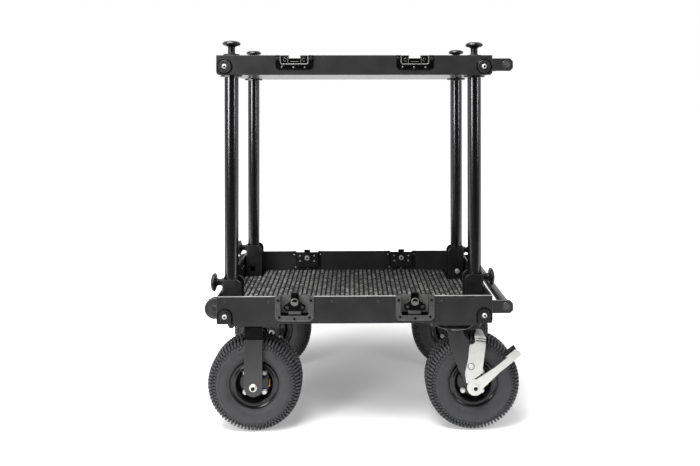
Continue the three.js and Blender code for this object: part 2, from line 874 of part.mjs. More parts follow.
function brakePlate(out) {
  const plate = sheet(
    brakePlateShares.map(([x, z]) => [x * wheelRadius, z * wheelRadius]),
    span(out * brakePlateInner, out * brakePlateOuter),
  );
  const inner = wheelRadius + shoeGap;
  const arc = (radius) => Array.from({ length: shoeSteps + 1 }, (_, i) => {
    const turn = shoeStartDegrees + ((shoeEndDegrees - shoeStartDegrees) * i) / shoeSteps;
    const angle = THREE.MathUtils.degToRad(turn);
    return [radius * Math.sin(angle), radius * Math.cos(angle)];
  });
  const outline = [...arc(inner), ...arc(inner + shoeThickness).reverse()];
  const shoe = sheet(outline, span(out * brakePlateOuter, out * (brakePlateOuter - shoeReach)));
  return plate.add(shoe);
}

function brakeLever(out) {
  const y = span(out * leverInner, out * leverOuter);
  const arm = outlineOf([
    [0, -leverNeckWidth / 2],
    [leverLength / 2, -leverTipWidth / 2],
    [pedalEnd, -leverTipWidth / 2],
    [leverLength, -leverTipWidth / 4],
    [leverLength, leverTipWidth / 4],
    [pedalEnd, leverTipWidth / 2],
    [pedalEnd, pedalRise + pedalPlate],
    [pedalStart, pedalRise + pedalPlate],
    [pedalStart, leverTipWidth / 2],
    [leverLength / 2, leverTipWidth / 2],
    [0, leverNeckWidth / 2],
  ]);
  const pedalY = span(out * leverOuter, out * (tyreBulge + pedalTyreGap));
  const pedalZ = [pedalRise, pedalRise + pedalPlate + pedalPad];
  const pedal = block([pedalStart, pedalEnd], pedalY, pedalZ);
  const lever = join([sheet(arm, y), barY(leverHeadRadius, 0, y, 0, tubeSides), pedal]);
  const hole = barY(runningHole(axleRadius), 0, [y[0] - cutOverrun, y[1] + cutOverrun], 0);
  return cut(lever, [hole]);
}

// Assembly

const cart = new THREE.Group();

function place(name, geometry, material, position = [0, 0, 0], turn = 0, parent = cart) {
  const mesh = new THREE.Mesh(geometry, material);
  mesh.name = name;
  mesh.position.set(...position);
  mesh.rotation.z = turn;
  parent.add(mesh);
}

place("tray_frame", surface(trayFrame()), powderCoat);
place("tray_floor", surface(trayFloor()), powderCoat);
place("tray_carpet", surface(trayCarpet()), carpetPileFinish);
place("shelf_frame", surface(shelfFrame()), powderCoat);
place("shelf_floor", surface(shelfFloor()), powderCoat);
place("shelf_carpet", surface(shelfCarpet()), carpetPileFinish);

const latch = { dish: surface(latchDish()), wing: surface(latchWing()), hook: surface(latchHook()) };
for (const { name, x, turn } of latchPlaces) {
  const y = turn === 0 ? -halfDepth : halfDepth;
  place(`latch_dish_${name}`, latch.dish, latchSteel, [x, y, trayRim], turn);
  place(`latch_wing_${name}`, latch.wing, blackCoat, [x, y, trayRim - wingTurnDrop], turn);
  place(`latch_hook_${name}`, latch.hook, blackCoat, [x, y, trayRim], turn);
}

const column = {
  post: surface(post()),
  bracket: surface(postBracket()),
  plunger: surface(indexPlunger()),
  knob: surface(topKnob()),
};
for (const { name, x, y, turn } of postPlaces) {
  place(`post_${name}`, column.post, anodisedTube, [x, y, pivotHeight], turn);
  place(`post_bracket_${name}`, column.bracket, blackCoat, [x, y, pivotHeight], turn);
  place(`index_plunger_${name}`, column.plunger, moulded, [x, y, plungerHeight], turn);
  place(`top_knob_${name}`, column.knob, moulded, [x, y, socketTop + seatGap]);
}

const handle = surface(pushHandle());
place("push_handle_upper", handle, powderCoat, [halfLength, 0, shelfRim - shelfHandleDrop]);
place("push_handle_lower", handle, powderCoat, [halfLength, 0, trayRim - trayHandleDrop]);

const roller = surface(loadingRoller());
const wheel = { tyre: surface(tyre()), rim: surface(rim()) };
const rigid = { fork: surface(rigidFork()), axle: surface(axle(forkOuter)) };
const swivel = {
  plate: surface(swivelPlate()),
  fork: surface(swivelFork()),
  axle: surface(axle(leverOuter)),
};
for (const [name, side] of [["front", -1], ["rear", 1]]) {
  const rollerY = (side * (rollerInnerFace + rollerOuterFace)) / 2;
  place(`loading_roller_${name}`, roller, moulded, [rollerX, rollerY, rollerHeight]);

  const left = new THREE.Group();
  left.position.set(-casterX, side * wheelRow, 0);
  left.rotation.z = side < 0 ? 0 : Math.PI;
  cart.add(left);
  place(`rigid_fork_${name}`, rigid.fork, powderCoat, [0, 0, 0], 0, left);
  place(`axle_${name}_left`, rigid.axle, zincSteel, [0, 0, wheelRadius], 0, left);
  place(`rim_${name}_left`, wheel.rim, rimEnamel, [0, 0, wheelRadius], 0, left);
  place(`tyre_${name}_left`, wheel.tyre, tyreRubber, [0, 0, wheelRadius], 0, left);

  const right = new THREE.Group();
  right.position.set(casterX, side * wheelRow, 0);
  cart.add(right);
  const hub = [swivelTrail, 0, wheelRadius];
  place(`swivel_plate_${name}`, swivel.plate, powderCoat, [0, 0, 0], 0, right);
  place(`swivel_fork_${name}`, swivel.fork, powderCoat, [0, 0, 0], 0, right);
  place(`axle_${name}_right`, swivel.axle, zincSteel, hub, side < 0 ? 0 : Math.PI, right);
  place(`rim_${name}_right`, wheel.rim, rimEnamel, hub, 0, right);
  place(`tyre_${name}_right`, wheel.tyre, tyreRubber, hub, 0, right);
  place(`brake_plate_${name}`, surface(brakePlate(side)), zincSteel, hub, 0, right);
  const lever = surface(brakeLever(side));
  lever.rotateY(-THREE.MathUtils.degToRad(leverAngleDegrees));
  place(`brake_lever_${name}`, lever, zincSteel, hub, 0, right);
}

// The origin is under the middle of the whole cart, on the floor
const leftReach = rollerX - rollerRadius;
const rightReach = casterX + swivelTrail + wheelRadius;
cart.position.x = -(leftReach + rightReach) / 2;

export default cart;
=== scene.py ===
import math
import random

import bmesh
import bpy
from mathutils import Matrix, Vector


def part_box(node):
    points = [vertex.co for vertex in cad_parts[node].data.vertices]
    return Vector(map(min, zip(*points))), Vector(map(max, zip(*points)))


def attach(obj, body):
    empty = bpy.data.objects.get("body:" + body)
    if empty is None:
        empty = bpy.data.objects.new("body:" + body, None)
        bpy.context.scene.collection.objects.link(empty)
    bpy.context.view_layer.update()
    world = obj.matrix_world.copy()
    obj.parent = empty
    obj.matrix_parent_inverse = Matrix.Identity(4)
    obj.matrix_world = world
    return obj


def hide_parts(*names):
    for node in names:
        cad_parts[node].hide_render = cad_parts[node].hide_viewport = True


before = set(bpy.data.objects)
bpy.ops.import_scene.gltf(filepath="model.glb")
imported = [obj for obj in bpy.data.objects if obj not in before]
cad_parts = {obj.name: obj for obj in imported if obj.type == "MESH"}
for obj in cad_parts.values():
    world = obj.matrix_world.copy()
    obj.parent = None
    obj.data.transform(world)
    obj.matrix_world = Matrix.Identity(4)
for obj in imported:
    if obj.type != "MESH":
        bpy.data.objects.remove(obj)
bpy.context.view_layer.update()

MM = 0.001


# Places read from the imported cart

def reach_in_metres(node):
    low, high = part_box(node)
    return Vector(low), Vector(high)


def deck_middle():
    low, high = reach_in_metres("tray_floor")
    return Vector(((low.x + high.x) / 2 / MM, 0, 0))


DECK_MIDDLE = deck_middle()


def reach(node):
    """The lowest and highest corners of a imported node, in deck millimetres."""
    low, high = reach_in_metres(node)
    return low / MM - DECK_MIDDLE, high / MM - DECK_MIDDLE


def middle(node):
    low, high = reach(node)
    return (low + high) / 2


# Gaps and walls
SEAT_GAP = 0.3
RUNNING_GAP = 0.4
OVERRUN = 1
DECK_WALL = 4
DECK_CORNER = 8
EDGE = 0.5

# Posts, brackets, plungers and top knobs
POST_RADIUS = 19.05
POST_WALL = 2
FOLD_CLEARANCE = 2
BRACKET_REACH = 30.5
BRACKET_HALF_WIDTH = 23.65
BRACKET_OUTER = 23.1
BRACKET_SHEET = 3.6
BRACKET_CORNER = 18
BRACKET_BEND = 6
BARREL_RADIUS = 9
BARREL_LENGTH = 14
PLUNGER_PIN_RADIUS = 4
CAP_RADIUS = 25
STEM_RADIUS = 10
STEM_TOP = 21.5
BASE_RADIUS = 23
STUD_RADIUS = 5
STUD_LENGTH = 30

# Latches on the tray and catches on the shelf
DISH_HALF_WIDTH = 53
DISH_DROP = 68
DISH_CORNER = 14
RECESS_HALF_WIDTH = 38
RECESS_DROP = 53
RECESS_CORNER = 7
RECESS_DEPTH = 15
PRESSED_SHEET = 1.3
FLANGE_FACE = -1.8
WING_DROP = 17
CATCH_HALF_WIDTH = 52
CATCH_DROP = 39
CATCH_CORNER = 12
CATCH_RECESS_DROP = 25
CATCH_RECESS_DEPTH = 9
CATCH_THICKNESS = 2
CATCH_NOTCH_HALF_WIDTH = 15.5
CATCH_NOTCH_DROP = 8

# Corner bosses
BOSS_RADIUS = 21.5
BOSS_THICKNESS = 3
BOSS_INSET = 22.5
TRAY_BOSS_RISE = 21
SHELF_BOSS_DROP = 31

# Push handles and loading rollers
ARM_THICKNESS = 8
ARM_CHAMFER = 8
HANDLE_TUBE_RADIUS = 12.7
HANDLE_TUBE_SETBACK = 17
ROLLER_EAR_RADIUS = 12
ROLLER_EAR_THICKNESS = 4

# Wheels, forks and brakes
WHEEL_RADIUS = 130
FORK_HALF_GAP = 47
FORK_SHEET = 5
RIGID_LEG_HALF_WIDTH = 25
RIGID_JOGGLE = 3
AXLE_RADIUS = 6
TREAD_PITCHES = 78
CARPET_RIB_PITCH = 14.8

# Places that follow
floor_high = reach("tray_floor")[1]
HALF_LENGTH = floor_high.x + DECK_WALL + SEAT_GAP
HALF_DEPTH = floor_high.y + DECK_WALL + SEAT_GAP
TRAY_UNDERSIDE = reach("rigid_fork_front")[1].z + SEAT_GAP
TRAY_RIM = reach("tray_frame")[1].z
CARPET_TOP = reach("tray_carpet")[1].z
SHELF_UNDERSIDE, SHELF_RIM = (corner.z for corner in reach("shelf_frame"))
SOCKET_TOP = reach("shelf_floor")[1].z
PIVOT_HEIGHT = CARPET_TOP + POST_RADIUS + FOLD_CLEARANCE
BRACKET_BOTTOM = reach("post_bracket_front_left")[0].z
BRACKET_TOP = reach("post_bracket_front_left")[1].z
CORNERS = ("front_left", "front_right", "rear_left", "rear_right")
SIDES = (("front", -1), ("rear", 1))
HALF_TURN = Matrix.Rotation(math.pi, 4, "Z")


# Colours, nodes and finishes

def linear(code):
    """A hex colour turned to linear light, with full alpha."""
    shades = [int(code[i:i + 2], 16) / 255 for i in (1, 3, 5)]
    return (*(s / 12.92 if s <= 0.04045 else ((s + 0.055) / 1.055) ** 2.4 for s in shades), 1)


def add_node(tree, kind, settings=None, inputs=None, links=None):
    """Adds a node with its settings and socket values, and links its sockets to what feeds them."""
    node = tree.nodes.new(kind)
    for name, value in (settings or {}).items():
        setattr(node, name, value)
    for socket, value in (inputs or {}).items():
        node.inputs[socket].default_value = value
    for socket, source in (links or {}).items():
        tree.links.new(source, node.inputs[socket])
    return node


def blank_finish(name):
    finish = bpy.data.materials.new(name)
    finish.use_nodes = True
    finish.node_tree.nodes.clear()
    return finish, finish.node_tree


def grain(tree, size, detail=2, stretch=(1, 1, 1)):
    """Noise whose grains are about a size in millimetres, on Object coordinates."""
    place = add_node(tree, "ShaderNodeTexCoord")
    scaled = add_node(tree, "ShaderNodeMapping", inputs={"Scale": stretch},
                      links={"Vector": place.outputs["Object"]})
    return add_node(tree, "ShaderNodeTexNoise", inputs={"Scale": 1 / (size * MM), "Detail": detail},
                    links={"Vector": scaled.outputs["Vector"]})


def shades(tree, source, stops):
    """A colour ramp with (position, hex colour) stops."""
    ramp = add_node(tree, "ShaderNodeValToRGB", links={"Fac": source})
    elements = ramp.color_ramp.elements
    for element, (position, code) in zip(elements, (stops[0], stops[-1])):
        element.position = position
        element.color = linear(code)
    for position, code in stops[1:-1]:
        elements.new(position).color = linear(code)
    return ramp.outputs["Color"]


def spread(tree, source, low, high):
    """Spreads a noise value between a low and a high value."""
    span = add_node(tree, "ShaderNodeMapRange",
                    inputs={"From Min": 0.3, "From Max": 0.7, "To Min": low, "To Max": high},
                    links={"Value": source})
    return span.outputs["Result"]


def surface(tree, colour, roughness, relief=None, relief_depth=0.1, **sockets):
    """The Principled surface of a finish, with its relief in millimetres."""
    shader = add_node(tree, "ShaderNodeBsdfPrincipled", inputs=sockets)
    for socket, value in (("Base Color", colour), ("Roughness", roughness)):
        if isinstance(value, bpy.types.NodeSocket):
            tree.links.new(value, shader.inputs[socket])
        else:
            shader.inputs[socket].default_value = value
    if relief is not None:
        bump = add_node(tree, "ShaderNodeBump", inputs={"Strength": 1, "Distance": relief_depth * MM},
                        links={"Height": relief})
        tree.links.new(bump.outputs["Normal"], shader.inputs["Normal"])
    add_node(tree, "ShaderNodeOutputMaterial", links={"Surface": shader.outputs["BSDF"]})
    return shader


def coat(name, tones, roughness, cloud, relief_depth, relief=None, **sockets):
    """A finish whose shade and roughness drift with one noise; its relief follows that or another."""
    finish, tree = blank_finish(name)
    drift = grain(tree, *cloud).outputs["Fac"]
    height = grain(tree, *relief).outputs["Fac"] if relief else drift
    surface(tree, shades(tree, drift, list(zip((0.3, 0.7), tones))), spread(tree, drift, *roughness),
            height, relief_depth, **sockets)
    return finish


def black_anodised_tube(name, edge_shine):
    """Drawn aluminium tube, anodised black: a dark metal whose shade drifts slowly along it."""
    finish, tree = blank_finish(name)
    lines = grain(tree, 5, detail=1, stretch=(1, 1, 0.02)).outputs["Fac"]
    surface(tree, shades(tree, lines, [(0.3, "#616163"), (0.7, "#676769")]), 0.21, Metallic=1,
            **{"Specular Tint": (edge_shine, edge_shine, edge_shine, 1)})
    return finish


def loop_pile_carpet():
    """Ribbed polypropylene loop pile in mixed greys: each tuft has a shade of its own and a fibre grain."""
    finish, tree = blank_finish("loop_pile_carpet")
    place = add_node(tree, "ShaderNodeTexCoord")
    tuft = add_node(tree, "ShaderNodeTexVoronoi", inputs={"Scale": 1 / (9 * MM)},
                    links={"Vector": place.outputs["Object"]})
    shade = add_node(tree, "ShaderNodeSeparateColor", links={"Color": tuft.outputs["Color"]})
    fibres = grain(tree, 1.1, detail=4).outputs["Fac"]
    mixed = shades(tree, shade.outputs["Red"],
                   [(0, "#2b2b2c"), (0.4, "#4f4f50"), (0.7, "#7c7c7a"), (1, "#a8a8a5")])
    worn = add_node(tree, "ShaderNodeMix", {"data_type": "RGBA", "blend_type": "MULTIPLY"},
                    inputs={0: 0.5}, links={6: mixed, 7: shades(tree, fibres, [(0.3, "#5a5a5a"),
                                                                             (0.65, "#ffffff")])})
    surface(tree, worn.outputs[2], 0.95, fibres, 0.5, **{"Sheen Weight": 0.15, "Sheen Roughness": 0.6})
    return finish


def carpet_backing():
    """The woven backing between the ribs, coarse and dull; its near-black is painted shade in the grooves
    between the ribs.
    """
    finish, tree = blank_finish("carpet_backing")
    weave = grain(tree, 1.5, detail=3).outputs["Fac"]
    surface(tree, shades(tree, weave, [(0.3, "#121213"), (0.7, "#232324")]), 0.95, weave, 0.4)
    return finish


# Baked polyester powder on aluminium sheet: a satin black with a fine orange peel.
POWDER_COAT = coat("satin_black_powder_coat", ("#2b2b2c", "#333334"), (0.28, 0.34), (60,), 0.05,
                   relief=(1.6, 3))
# A smoother powder coat, which goes pale where it is seen almost edge on.
SMOOTH_COAT = coat("smooth_black_coat", ("#2b2b2c", "#333334"), (0.22, 0.26), (40,), 0.02,
                   **{"Specular IOR Level": 0.9})
# Steel with a thin electrophoretic coat: a darker, slightly glossier black over a rolled grain.
COATED_STEEL = coat("black_coated_steel", ("#171718", "#202021"), (0.34, 0.44), (25,), 0.04,
                    relief=(0.9, 3, (1, 1, 0.3)))
ANODISED = black_anodised_tube("black_anodised_post", 0.1)
ANODISED_GRIP = black_anodised_tube("black_anodised_grip", 0.8)
PILE = loop_pile_carpet()
BACKING = carpet_backing()
# Bright zinc plate on steel: a pale satin metal with a faint cloudiness.
ZINC = coat("bright_zinc", ("#d4d4d1", "#dededb"), (0.4, 0.46), (14, 3), 0.01, Metallic=0.6)
# Baked gloss black on small pressed steel pieces; the same black is painted shade on recess walls, gaps,
# grooves, sockets, axle ends and the rigid forks' necks.
GLOSS_BLACK_AND_SHADE = coat("gloss_black_coat", ("#040405", "#09090a"), (0.24, 0.32), (6,), 0.02,
             **{"Specular IOR Level": 0.2})
# A dull pale grey metal: the barrel faces and small catch screws, and a painted highlight on the edges and
# raised rings of the catches and on the caster crown's lip.
PALE_GREY_AND_HIGHLIGHT = coat("rubbed_edge", ("#7c7c7a", "#989896"), (0.34, 0.44), (5, 4), 0.02, Metallic=0.5)
# A pale satin metal: the latch strikes, and a painted highlight along the tray's front rim.
PALE_METAL_AND_RIM_HIGHLIGHT = coat("bare_cut_edge", ("#b4b4b2", "#cfcfcc"), (0.38, 0.46), (3, 3, (0.1, 1, 1)), 0.01,
                 Metallic=0.5)
# The dull grey inside of a pressed dish, greyer than its coated flange.
PHOSPHATED = coat("phosphated_steel", ("#626261", "#757573"), (0.44, 0.54), (7, 3), 0.03, Metallic=0.3)
# Pressed steel with a thin grey-black coat, paler than the panels round it; as thin strips on the panels' end
# edges it is a painted highlight.
LATCH_COAT = coat("grey_latch_coat", ("#515152", "#606060"), (0.36, 0.46), (8, 3), 0.03, Metallic=0.3)
# Injection-moulded nylon: black, with the light texture of a blasted mould.
MOULDED = coat("moulded_knob_plastic", ("#121213", "#181819"), (0.24, 0.32), (0.9, 2), 0.02)
# Moulded tyre rubber: dull dark grey, a little dusty, with a fine mould grain.
TYRE = coat("tyre_rubber", ("#313133", "#3d3d3f"), (0.5, 0.64), (18, 4), 0.06, relief=(1.2, 3))
# Solid rubber roller: dark grey and smooth, with a matt turned face.
ROLLER = coat("roller_rubber", ("#2c2c2d", "#383839"), (0.5, 0.62), (9, 3), 0.05)
# Stoved black enamel on pressed steel: glossy, with a slight ripple.
ENAMEL = coat("black_rim_enamel", ("#101011", "#151516"), (0.12, 0.18), (4, 2), 0.02,
              **{"Specular IOR Level": 0.4})
# Turned brass, slightly dull: the valve and its cap.
BRASS = coat("turned_brass", ("#8a6a34", "#a8864c"), (0.28, 0.38), (3, 2), 0.02, Metallic=1)


# Outlines: lists of points in a plane

def arc(centre, radius, start, end, steps=6):
    """Points on an arc, from a start to an end angle in degrees."""
    turns = [math.radians(start + (end - start) * i / steps) for i in range(steps + 1)]
    return [(centre[0] + radius * math.cos(t), centre[1] + radius * math.sin(t)) for t in turns]


def circle(centre, radius, steps=24):
    return arc(centre, radius, 0, 360, steps)[:-1]


def rounded(across, up, radii, steps=5):
    """A rectangle with four corner radii: lower left, lower right, upper right, upper left."""
    corners = ((across[0], up[0], 1, 1, 180), (across[1], up[0], -1, 1, 270),
               (across[1], up[1], -1, -1, 0), (across[0], up[1], 1, -1, 90))
    points = []
    for (x, y, inward, upward, start), radius in zip(corners, radii):
        centre = (x + inward * radius, y + upward * radius)
        points += arc(centre, radius, start, start + 90, steps) if radius else [(x, y)]
    return points


def softened(outline, radius, steps=3):
    """An outline with its corners rounded off."""
    points = []
    for before, corner, after in zip(outline[-1:] + outline[:-1], outline, outline[1:] + outline[:1]):
        corner = Vector(corner)
        legs = [Vector(end) - corner for end in (before, after)]
        back, on = (corner + leg.normalized() * min(radius, leg.length / 2.2) for leg in legs)
        for i in range(steps + 1):
            t = i / steps
            points.append(tuple(back * (1 - t) ** 2 + corner * 2 * t * (1 - t) + on * t * t))
    return points


def flowing(profile, steps=4):
    """A smooth line through the points of a profile."""
    ends = [profile[0], *profile, profile[-1]]
    line = []
    for p0, p1, p2, p3 in zip(ends, ends[1:], ends[2:], ends[3:]):
        p0, p1, p2, p3 = (Vector(p) for p in (p0, p1, p2, p3))
        for i in range(steps):
            t = i / steps
            point = (2 * p1 + (p2 - p0) * t + (2 * p0 - 5 * p1 + 4 * p2 - p3) * t * t
                     + (3 * p1 - p0 - 3 * p2 + p3) * t ** 3) / 2
            line.append((max(point.x, 0), point.y))
    return line + [profile[-1]]


# Shapes: closed meshes in millimetres

def closed(mesh):
    """Merges a shape's doubles and turns its faces outwards."""
    work = bmesh.new()
    work.from_mesh(mesh)
    bmesh.ops.remove_doubles(work, verts=work.verts, dist=0.001)
    bmesh.ops.recalc_face_normals(work, faces=work.faces)
    work.to_mesh(mesh)
    work.free()
    return mesh


def shape_of(points, faces):
    mesh = bpy.data.meshes.new("shape")
    mesh.from_pydata([tuple(p) for p in points], [], faces)
    return closed(mesh)


def moved(shape, *steps):
    """A copy of a shape, moved by matrices or by (x, y, z) steps in turn."""
    copy = shape.copy()
    for step in steps:
        copy.transform(step if isinstance(step, Matrix) else Matrix.Translation(step))
    return copy


def mirrored(shape, axis=(0, 1, 0)):
    """A copy of a shape on the other side of the deck's middle."""
    copy = shape.copy()
    copy.transform(Matrix.Scale(-1, 4, axis))
    copy.flip_normals()
    return copy


def merged(*shapes):
    work = bmesh.new()
    for shape in shapes:
        work.from_mesh(shape)
    mesh = bpy.data.meshes.new("shape")
    work.to_mesh(mesh)
    work.free()
    return mesh


def both_sides(shape):
    return merged(shape, mirrored(shape))


def evaluated(obj):
    """The mesh of an object with its modifiers, after which the object goes."""
    graph = bpy.context.evaluated_depsgraph_get()
    mesh = bpy.data.meshes.new_from_object(obj.evaluated_get(graph))
    bpy.data.objects.remove(obj)
    return mesh


def shown(data):
    obj = bpy.data.objects.new("shape", data)
    bpy.context.scene.collection.objects.link(obj)
    return obj


def carved(shape, *cutters):
    """A shape with others cut out of it."""
    body = shown(shape.copy())
    tool = shown(merged(*cutters))
    cut = body.modifiers.new("cut", "BOOLEAN")
    cut.operation = "DIFFERENCE"
    cut.solver = "EXACT"
    cut.object = tool
    mesh = evaluated(body)
    bpy.data.objects.remove(tool)
    return mesh


# How a flat outline lies: which way its across, up and thickness go
LIES = {
    "flat": Matrix.Identity(4),
    "front": Matrix(((1, 0, 0, 0), (0, 0, -1, 0), (0, 1, 0, 0), (0, 0, 0, 1))),
    "end": Matrix(((0, 0, 1, 0), (1, 0, 0, 0), (0, 1, 0, 0), (0, 0, 0, 1))),
}
THICKNESS_AXIS = {"flat": (0, 0, 1), "front": (0, 1, 0), "end": (1, 0, 0)}


def plate(outlines, span, edge=EDGE, lie="front"):
    """A sheet with outlines (the outside, then holes), its thickness over a span, its edges eased."""
    curve = bpy.data.curves.new("outline", "CURVE")
    curve.dimensions = "2D"
    curve.fill_mode = "BOTH"
    for outline in outlines:
        spline = curve.splines.new("POLY")
        spline.points.add(len(outline) - 1)
        for point, (x, y) in zip(spline.points, outline):
            point.co = (x, y, 0, 1)
        spline.use_cyclic_u = True
    curve.extrude = abs(span[1] - span[0]) / 2 - edge
    curve.bevel_depth = edge
    curve.bevel_resolution = 1
    curve.offset = -edge
    mesh = closed(evaluated(shown(curve)))
    mesh.transform(LIES[lie])
    mesh.transform(Matrix.Translation(Vector(THICKNESS_AXIS[lie]) * (span[0] + span[1]) / 2))
    return mesh


def block(x, y, z, edge=EDGE, radius=0):
    """A block over spans along X, Y and Z, with its upright corners rounded."""
    return plate([rounded(x, y, (radius,) * 4)], z, edge, "flat")


TURNS = {"z": Matrix.Identity(4), "y": Matrix.Rotation(-math.pi / 2, 4, "X"),
         "x": Matrix.Rotation(math.pi / 2, 4, "Y")}


def turned(profile, axis="z", sides=48, ring=False):
    """A profile of (radius, distance along an axis) turned round it; a ring's profile closes on itself."""
    points = []
    rows = []
    for radius, along in profile:
        count = sides if radius > 0 else 1
        rows.append([len(points) + i for i in range(count)] * (sides // count))
        for i in range(count):
            turn = 2 * math.pi * i / sides
            points.append((radius * math.cos(turn), radius * math.sin(turn), along))
    faces = []
    for near, far in zip(rows, rows[1:] + (rows[:1] if ring else [])):
        for i in range(sides):
            j = (i + 1) % sides
            face = list(dict.fromkeys((near[i], near[j], far[j], far[i])))
            if len(face) > 2:
                faces.append(face)
    mesh = shape_of(points, faces)
    mesh.transform(TURNS[axis])
    return mesh


def bar(radius, span, axis="y", edge=EDGE, sides=32):
    """A round bar over a span along an axis, its ends eased."""
    start, end = sorted(span)
    profile = [(0, start), (radius - edge, start), (radius, start + edge),
               (radius, end - edge), (radius - edge, end), (0, end)]
    return turned(profile, axis, sides)


def hexagon(across_corners, span, axis="z", edge=EDGE):
    return bar(across_corners / 2, span, axis, edge, sides=6)


def rod(path, radius, sides=8, closed_path=False):
    """A round rod along a path of points."""
    curve = bpy.data.curves.new("path", "CURVE")
    curve.dimensions = "3D"
    spline = curve.splines.new("POLY")
    spline.points.add(len(path) - 1)
    for point, place in zip(spline.points, path):
        point.co = (*place, 1)
    spline.use_cyclic_u = closed_path
    curve.bevel_depth = radius
    curve.bevel_resolution = sides // 2
    curve.use_fill_caps = True
    return closed(evaluated(shown(curve)))


def lump(subdivisions, radius, stretch=1):
    """A ball of few faces, stretched upwards."""
    work = bmesh.new()
    bmesh.ops.create_icosphere(work, subdivisions=subdivisions, radius=radius)
    bmesh.ops.scale(work, vec=(1, 1, stretch), verts=work.verts)
    mesh = bpy.data.meshes.new("lump")
    work.to_mesh(mesh)
    work.free()
    return mesh


# Finished pieces

def piece(name, shape, finish, slot, body, *stands_for, sharp=20):
    """Finishes a shape: to metres, in its material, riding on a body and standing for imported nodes."""
    mesh = shape.copy()
    mesh.name = name
    mesh.transform(Matrix.Translation(DECK_MIDDLE))
    mesh.transform(Matrix.Scale(MM, 4))
    mesh.materials.clear()
    mesh.materials.append(finish)
    mesh.shade_smooth()
    mesh.set_sharp_from_angle(angle=math.radians(sharp))
    obj = bpy.data.objects.new(name, mesh)
    bpy.context.scene.collection.objects.link(obj)
    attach(obj, body)
    if stands_for:
        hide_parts(*stands_for)
    return obj


def dress(node, finish):
    """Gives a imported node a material."""
    obj = bpy.data.objects[node]
    obj.data.materials.clear()
    obj.data.materials.append(finish)


# Geometry Nodes: what is set at points, and what goes round a wheel

def new_tree(name, inputs):
    tree = bpy.data.node_groups.new(name, "GeometryNodeTree")
    sockets = {}
    for label, kind in inputs:
        sockets[label] = tree.interface.new_socket(label, in_out="INPUT", socket_type=kind).identifier
    tree.interface.new_socket("Geometry", in_out="OUTPUT", socket_type="NodeSocketGeometry")
    return tree, sockets


def set_at_points():
    """Sets a copy of a part at each point, facing the point's way, with a seeded turn and size."""
    tree, sockets = new_tree("set_at_points", (
        ("Points", "NodeSocketGeometry"), ("Part", "NodeSocketObject"), ("Finish", "NodeSocketMaterial"),
        ("Smallest", "NodeSocketFloat"), ("Largest", "NodeSocketFloat"), ("Seed", "NodeSocketInt")))
    given = add_node(tree, "NodeGroupInput").outputs
    part = add_node(tree, "GeometryNodeObjectInfo", links={"Object": given["Part"]})
    facing = add_node(tree, "GeometryNodeInputNamedAttribute", {"data_type": "FLOAT_VECTOR"},
                      inputs={"Name": "facing"})
    aimed = add_node(tree, "FunctionNodeAlignRotationToVector", {"axis": "Z"},
                     links={"Vector": facing.outputs["Attribute"]})
    turn = add_node(tree, "FunctionNodeRandomValue", {"data_type": "FLOAT"},
                    inputs={2: 0, 3: 2 * math.pi}, links={"Seed": given["Seed"]})
    spin = add_node(tree, "FunctionNodeAxisAngleToRotation", inputs={"Axis": (0, 0, 1)},
                    links={"Angle": turn.outputs[1]})
    rotation = add_node(tree, "FunctionNodeRotateRotation", {"rotation_space": "LOCAL"},
                        links={"Rotation": aimed.outputs["Rotation"],
                               "Rotate By": spin.outputs["Rotation"]})
    size = add_node(tree, "FunctionNodeRandomValue", {"data_type": "FLOAT"},
                    links={2: given["Smallest"], 3: given["Largest"], "Seed": given["Seed"]})
    copies = add_node(tree, "GeometryNodeInstanceOnPoints",
                      links={"Points": given["Points"], "Instance": part.outputs["Geometry"],
                             "Rotation": rotation.outputs["Rotation"], "Scale": size.outputs[1]})
    solid = add_node(tree, "GeometryNodeRealizeInstances", links={"Geometry": copies.outputs["Instances"]})
    painted = add_node(tree, "GeometryNodeSetMaterial",
                       links={"Geometry": solid.outputs["Geometry"], "Material": given["Finish"]})
    add_node(tree, "NodeGroupOutput", links={"Geometry": painted.outputs["Geometry"]})
    return tree, sockets


def tread_round_wheel():
    """Repeats one pitch of tread round the Y axis, joined to the casing."""
    tree, sockets = new_tree("tread_round_wheel", (
        ("Casing", "NodeSocketGeometry"), ("Pitch", "NodeSocketObject"), ("Count", "NodeSocketInt"),
        ("Finish", "NodeSocketMaterial")))
    given = add_node(tree, "NodeGroupInput").outputs
    pitch = add_node(tree, "GeometryNodeObjectInfo", links={"Object": given["Pitch"]})
    centre = add_node(tree, "GeometryNodePoints", links={"Count": given["Count"]})
    number = add_node(tree, "GeometryNodeInputIndex")
    share = add_node(tree, "ShaderNodeMath", {"operation": "DIVIDE"},
                     links={0: number.outputs["Index"], 1: given["Count"]})
    angle = add_node(tree, "ShaderNodeMath", {"operation": "MULTIPLY"}, inputs={1: 2 * math.pi},
                     links={0: share.outputs["Value"]})
    turn = add_node(tree, "FunctionNodeAxisAngleToRotation", inputs={"Axis": (0, 1, 0)},
                    links={"Angle": angle.outputs["Value"]})
    copies = add_node(tree, "GeometryNodeInstanceOnPoints",
                      links={"Points": centre.outputs["Points"], "Instance": pitch.outputs["Geometry"],
                             "Rotation": turn.outputs["Rotation"]})
    solid = add_node(tree, "GeometryNodeRealizeInstances", links={"Geometry": copies.outputs["Instances"]})
    whole = add_node(tree, "GeometryNodeJoinGeometry", links={"Geometry": solid.outputs["Geometry"]})
    tree.links.new(given["Casing"], whole.inputs["Geometry"])
    painted = add_node(tree, "GeometryNodeSetMaterial",
                       links={"Geometry": whole.outputs["Geometry"], "Material": given["Finish"]})
    add_node(tree, "NodeGroupOutput", links={"Geometry": painted.outputs["Geometry"]})
    return tree, sockets


def grown(tree_and_sockets, base, **values):
    """Runs a tree on a base mesh; each value goes to the input of its name."""
    tree, sockets = tree_and_sockets
    obj = shown(base)
    modifier = obj.modifiers.new(tree.name, "NODES")
    modifier.node_group = tree
    for label, value in values.items():
        modifier[sockets[label]] = value
    return evaluated(obj)


AT_POINTS = set_at_points()
ROUND_WHEEL = tread_round_wheel()


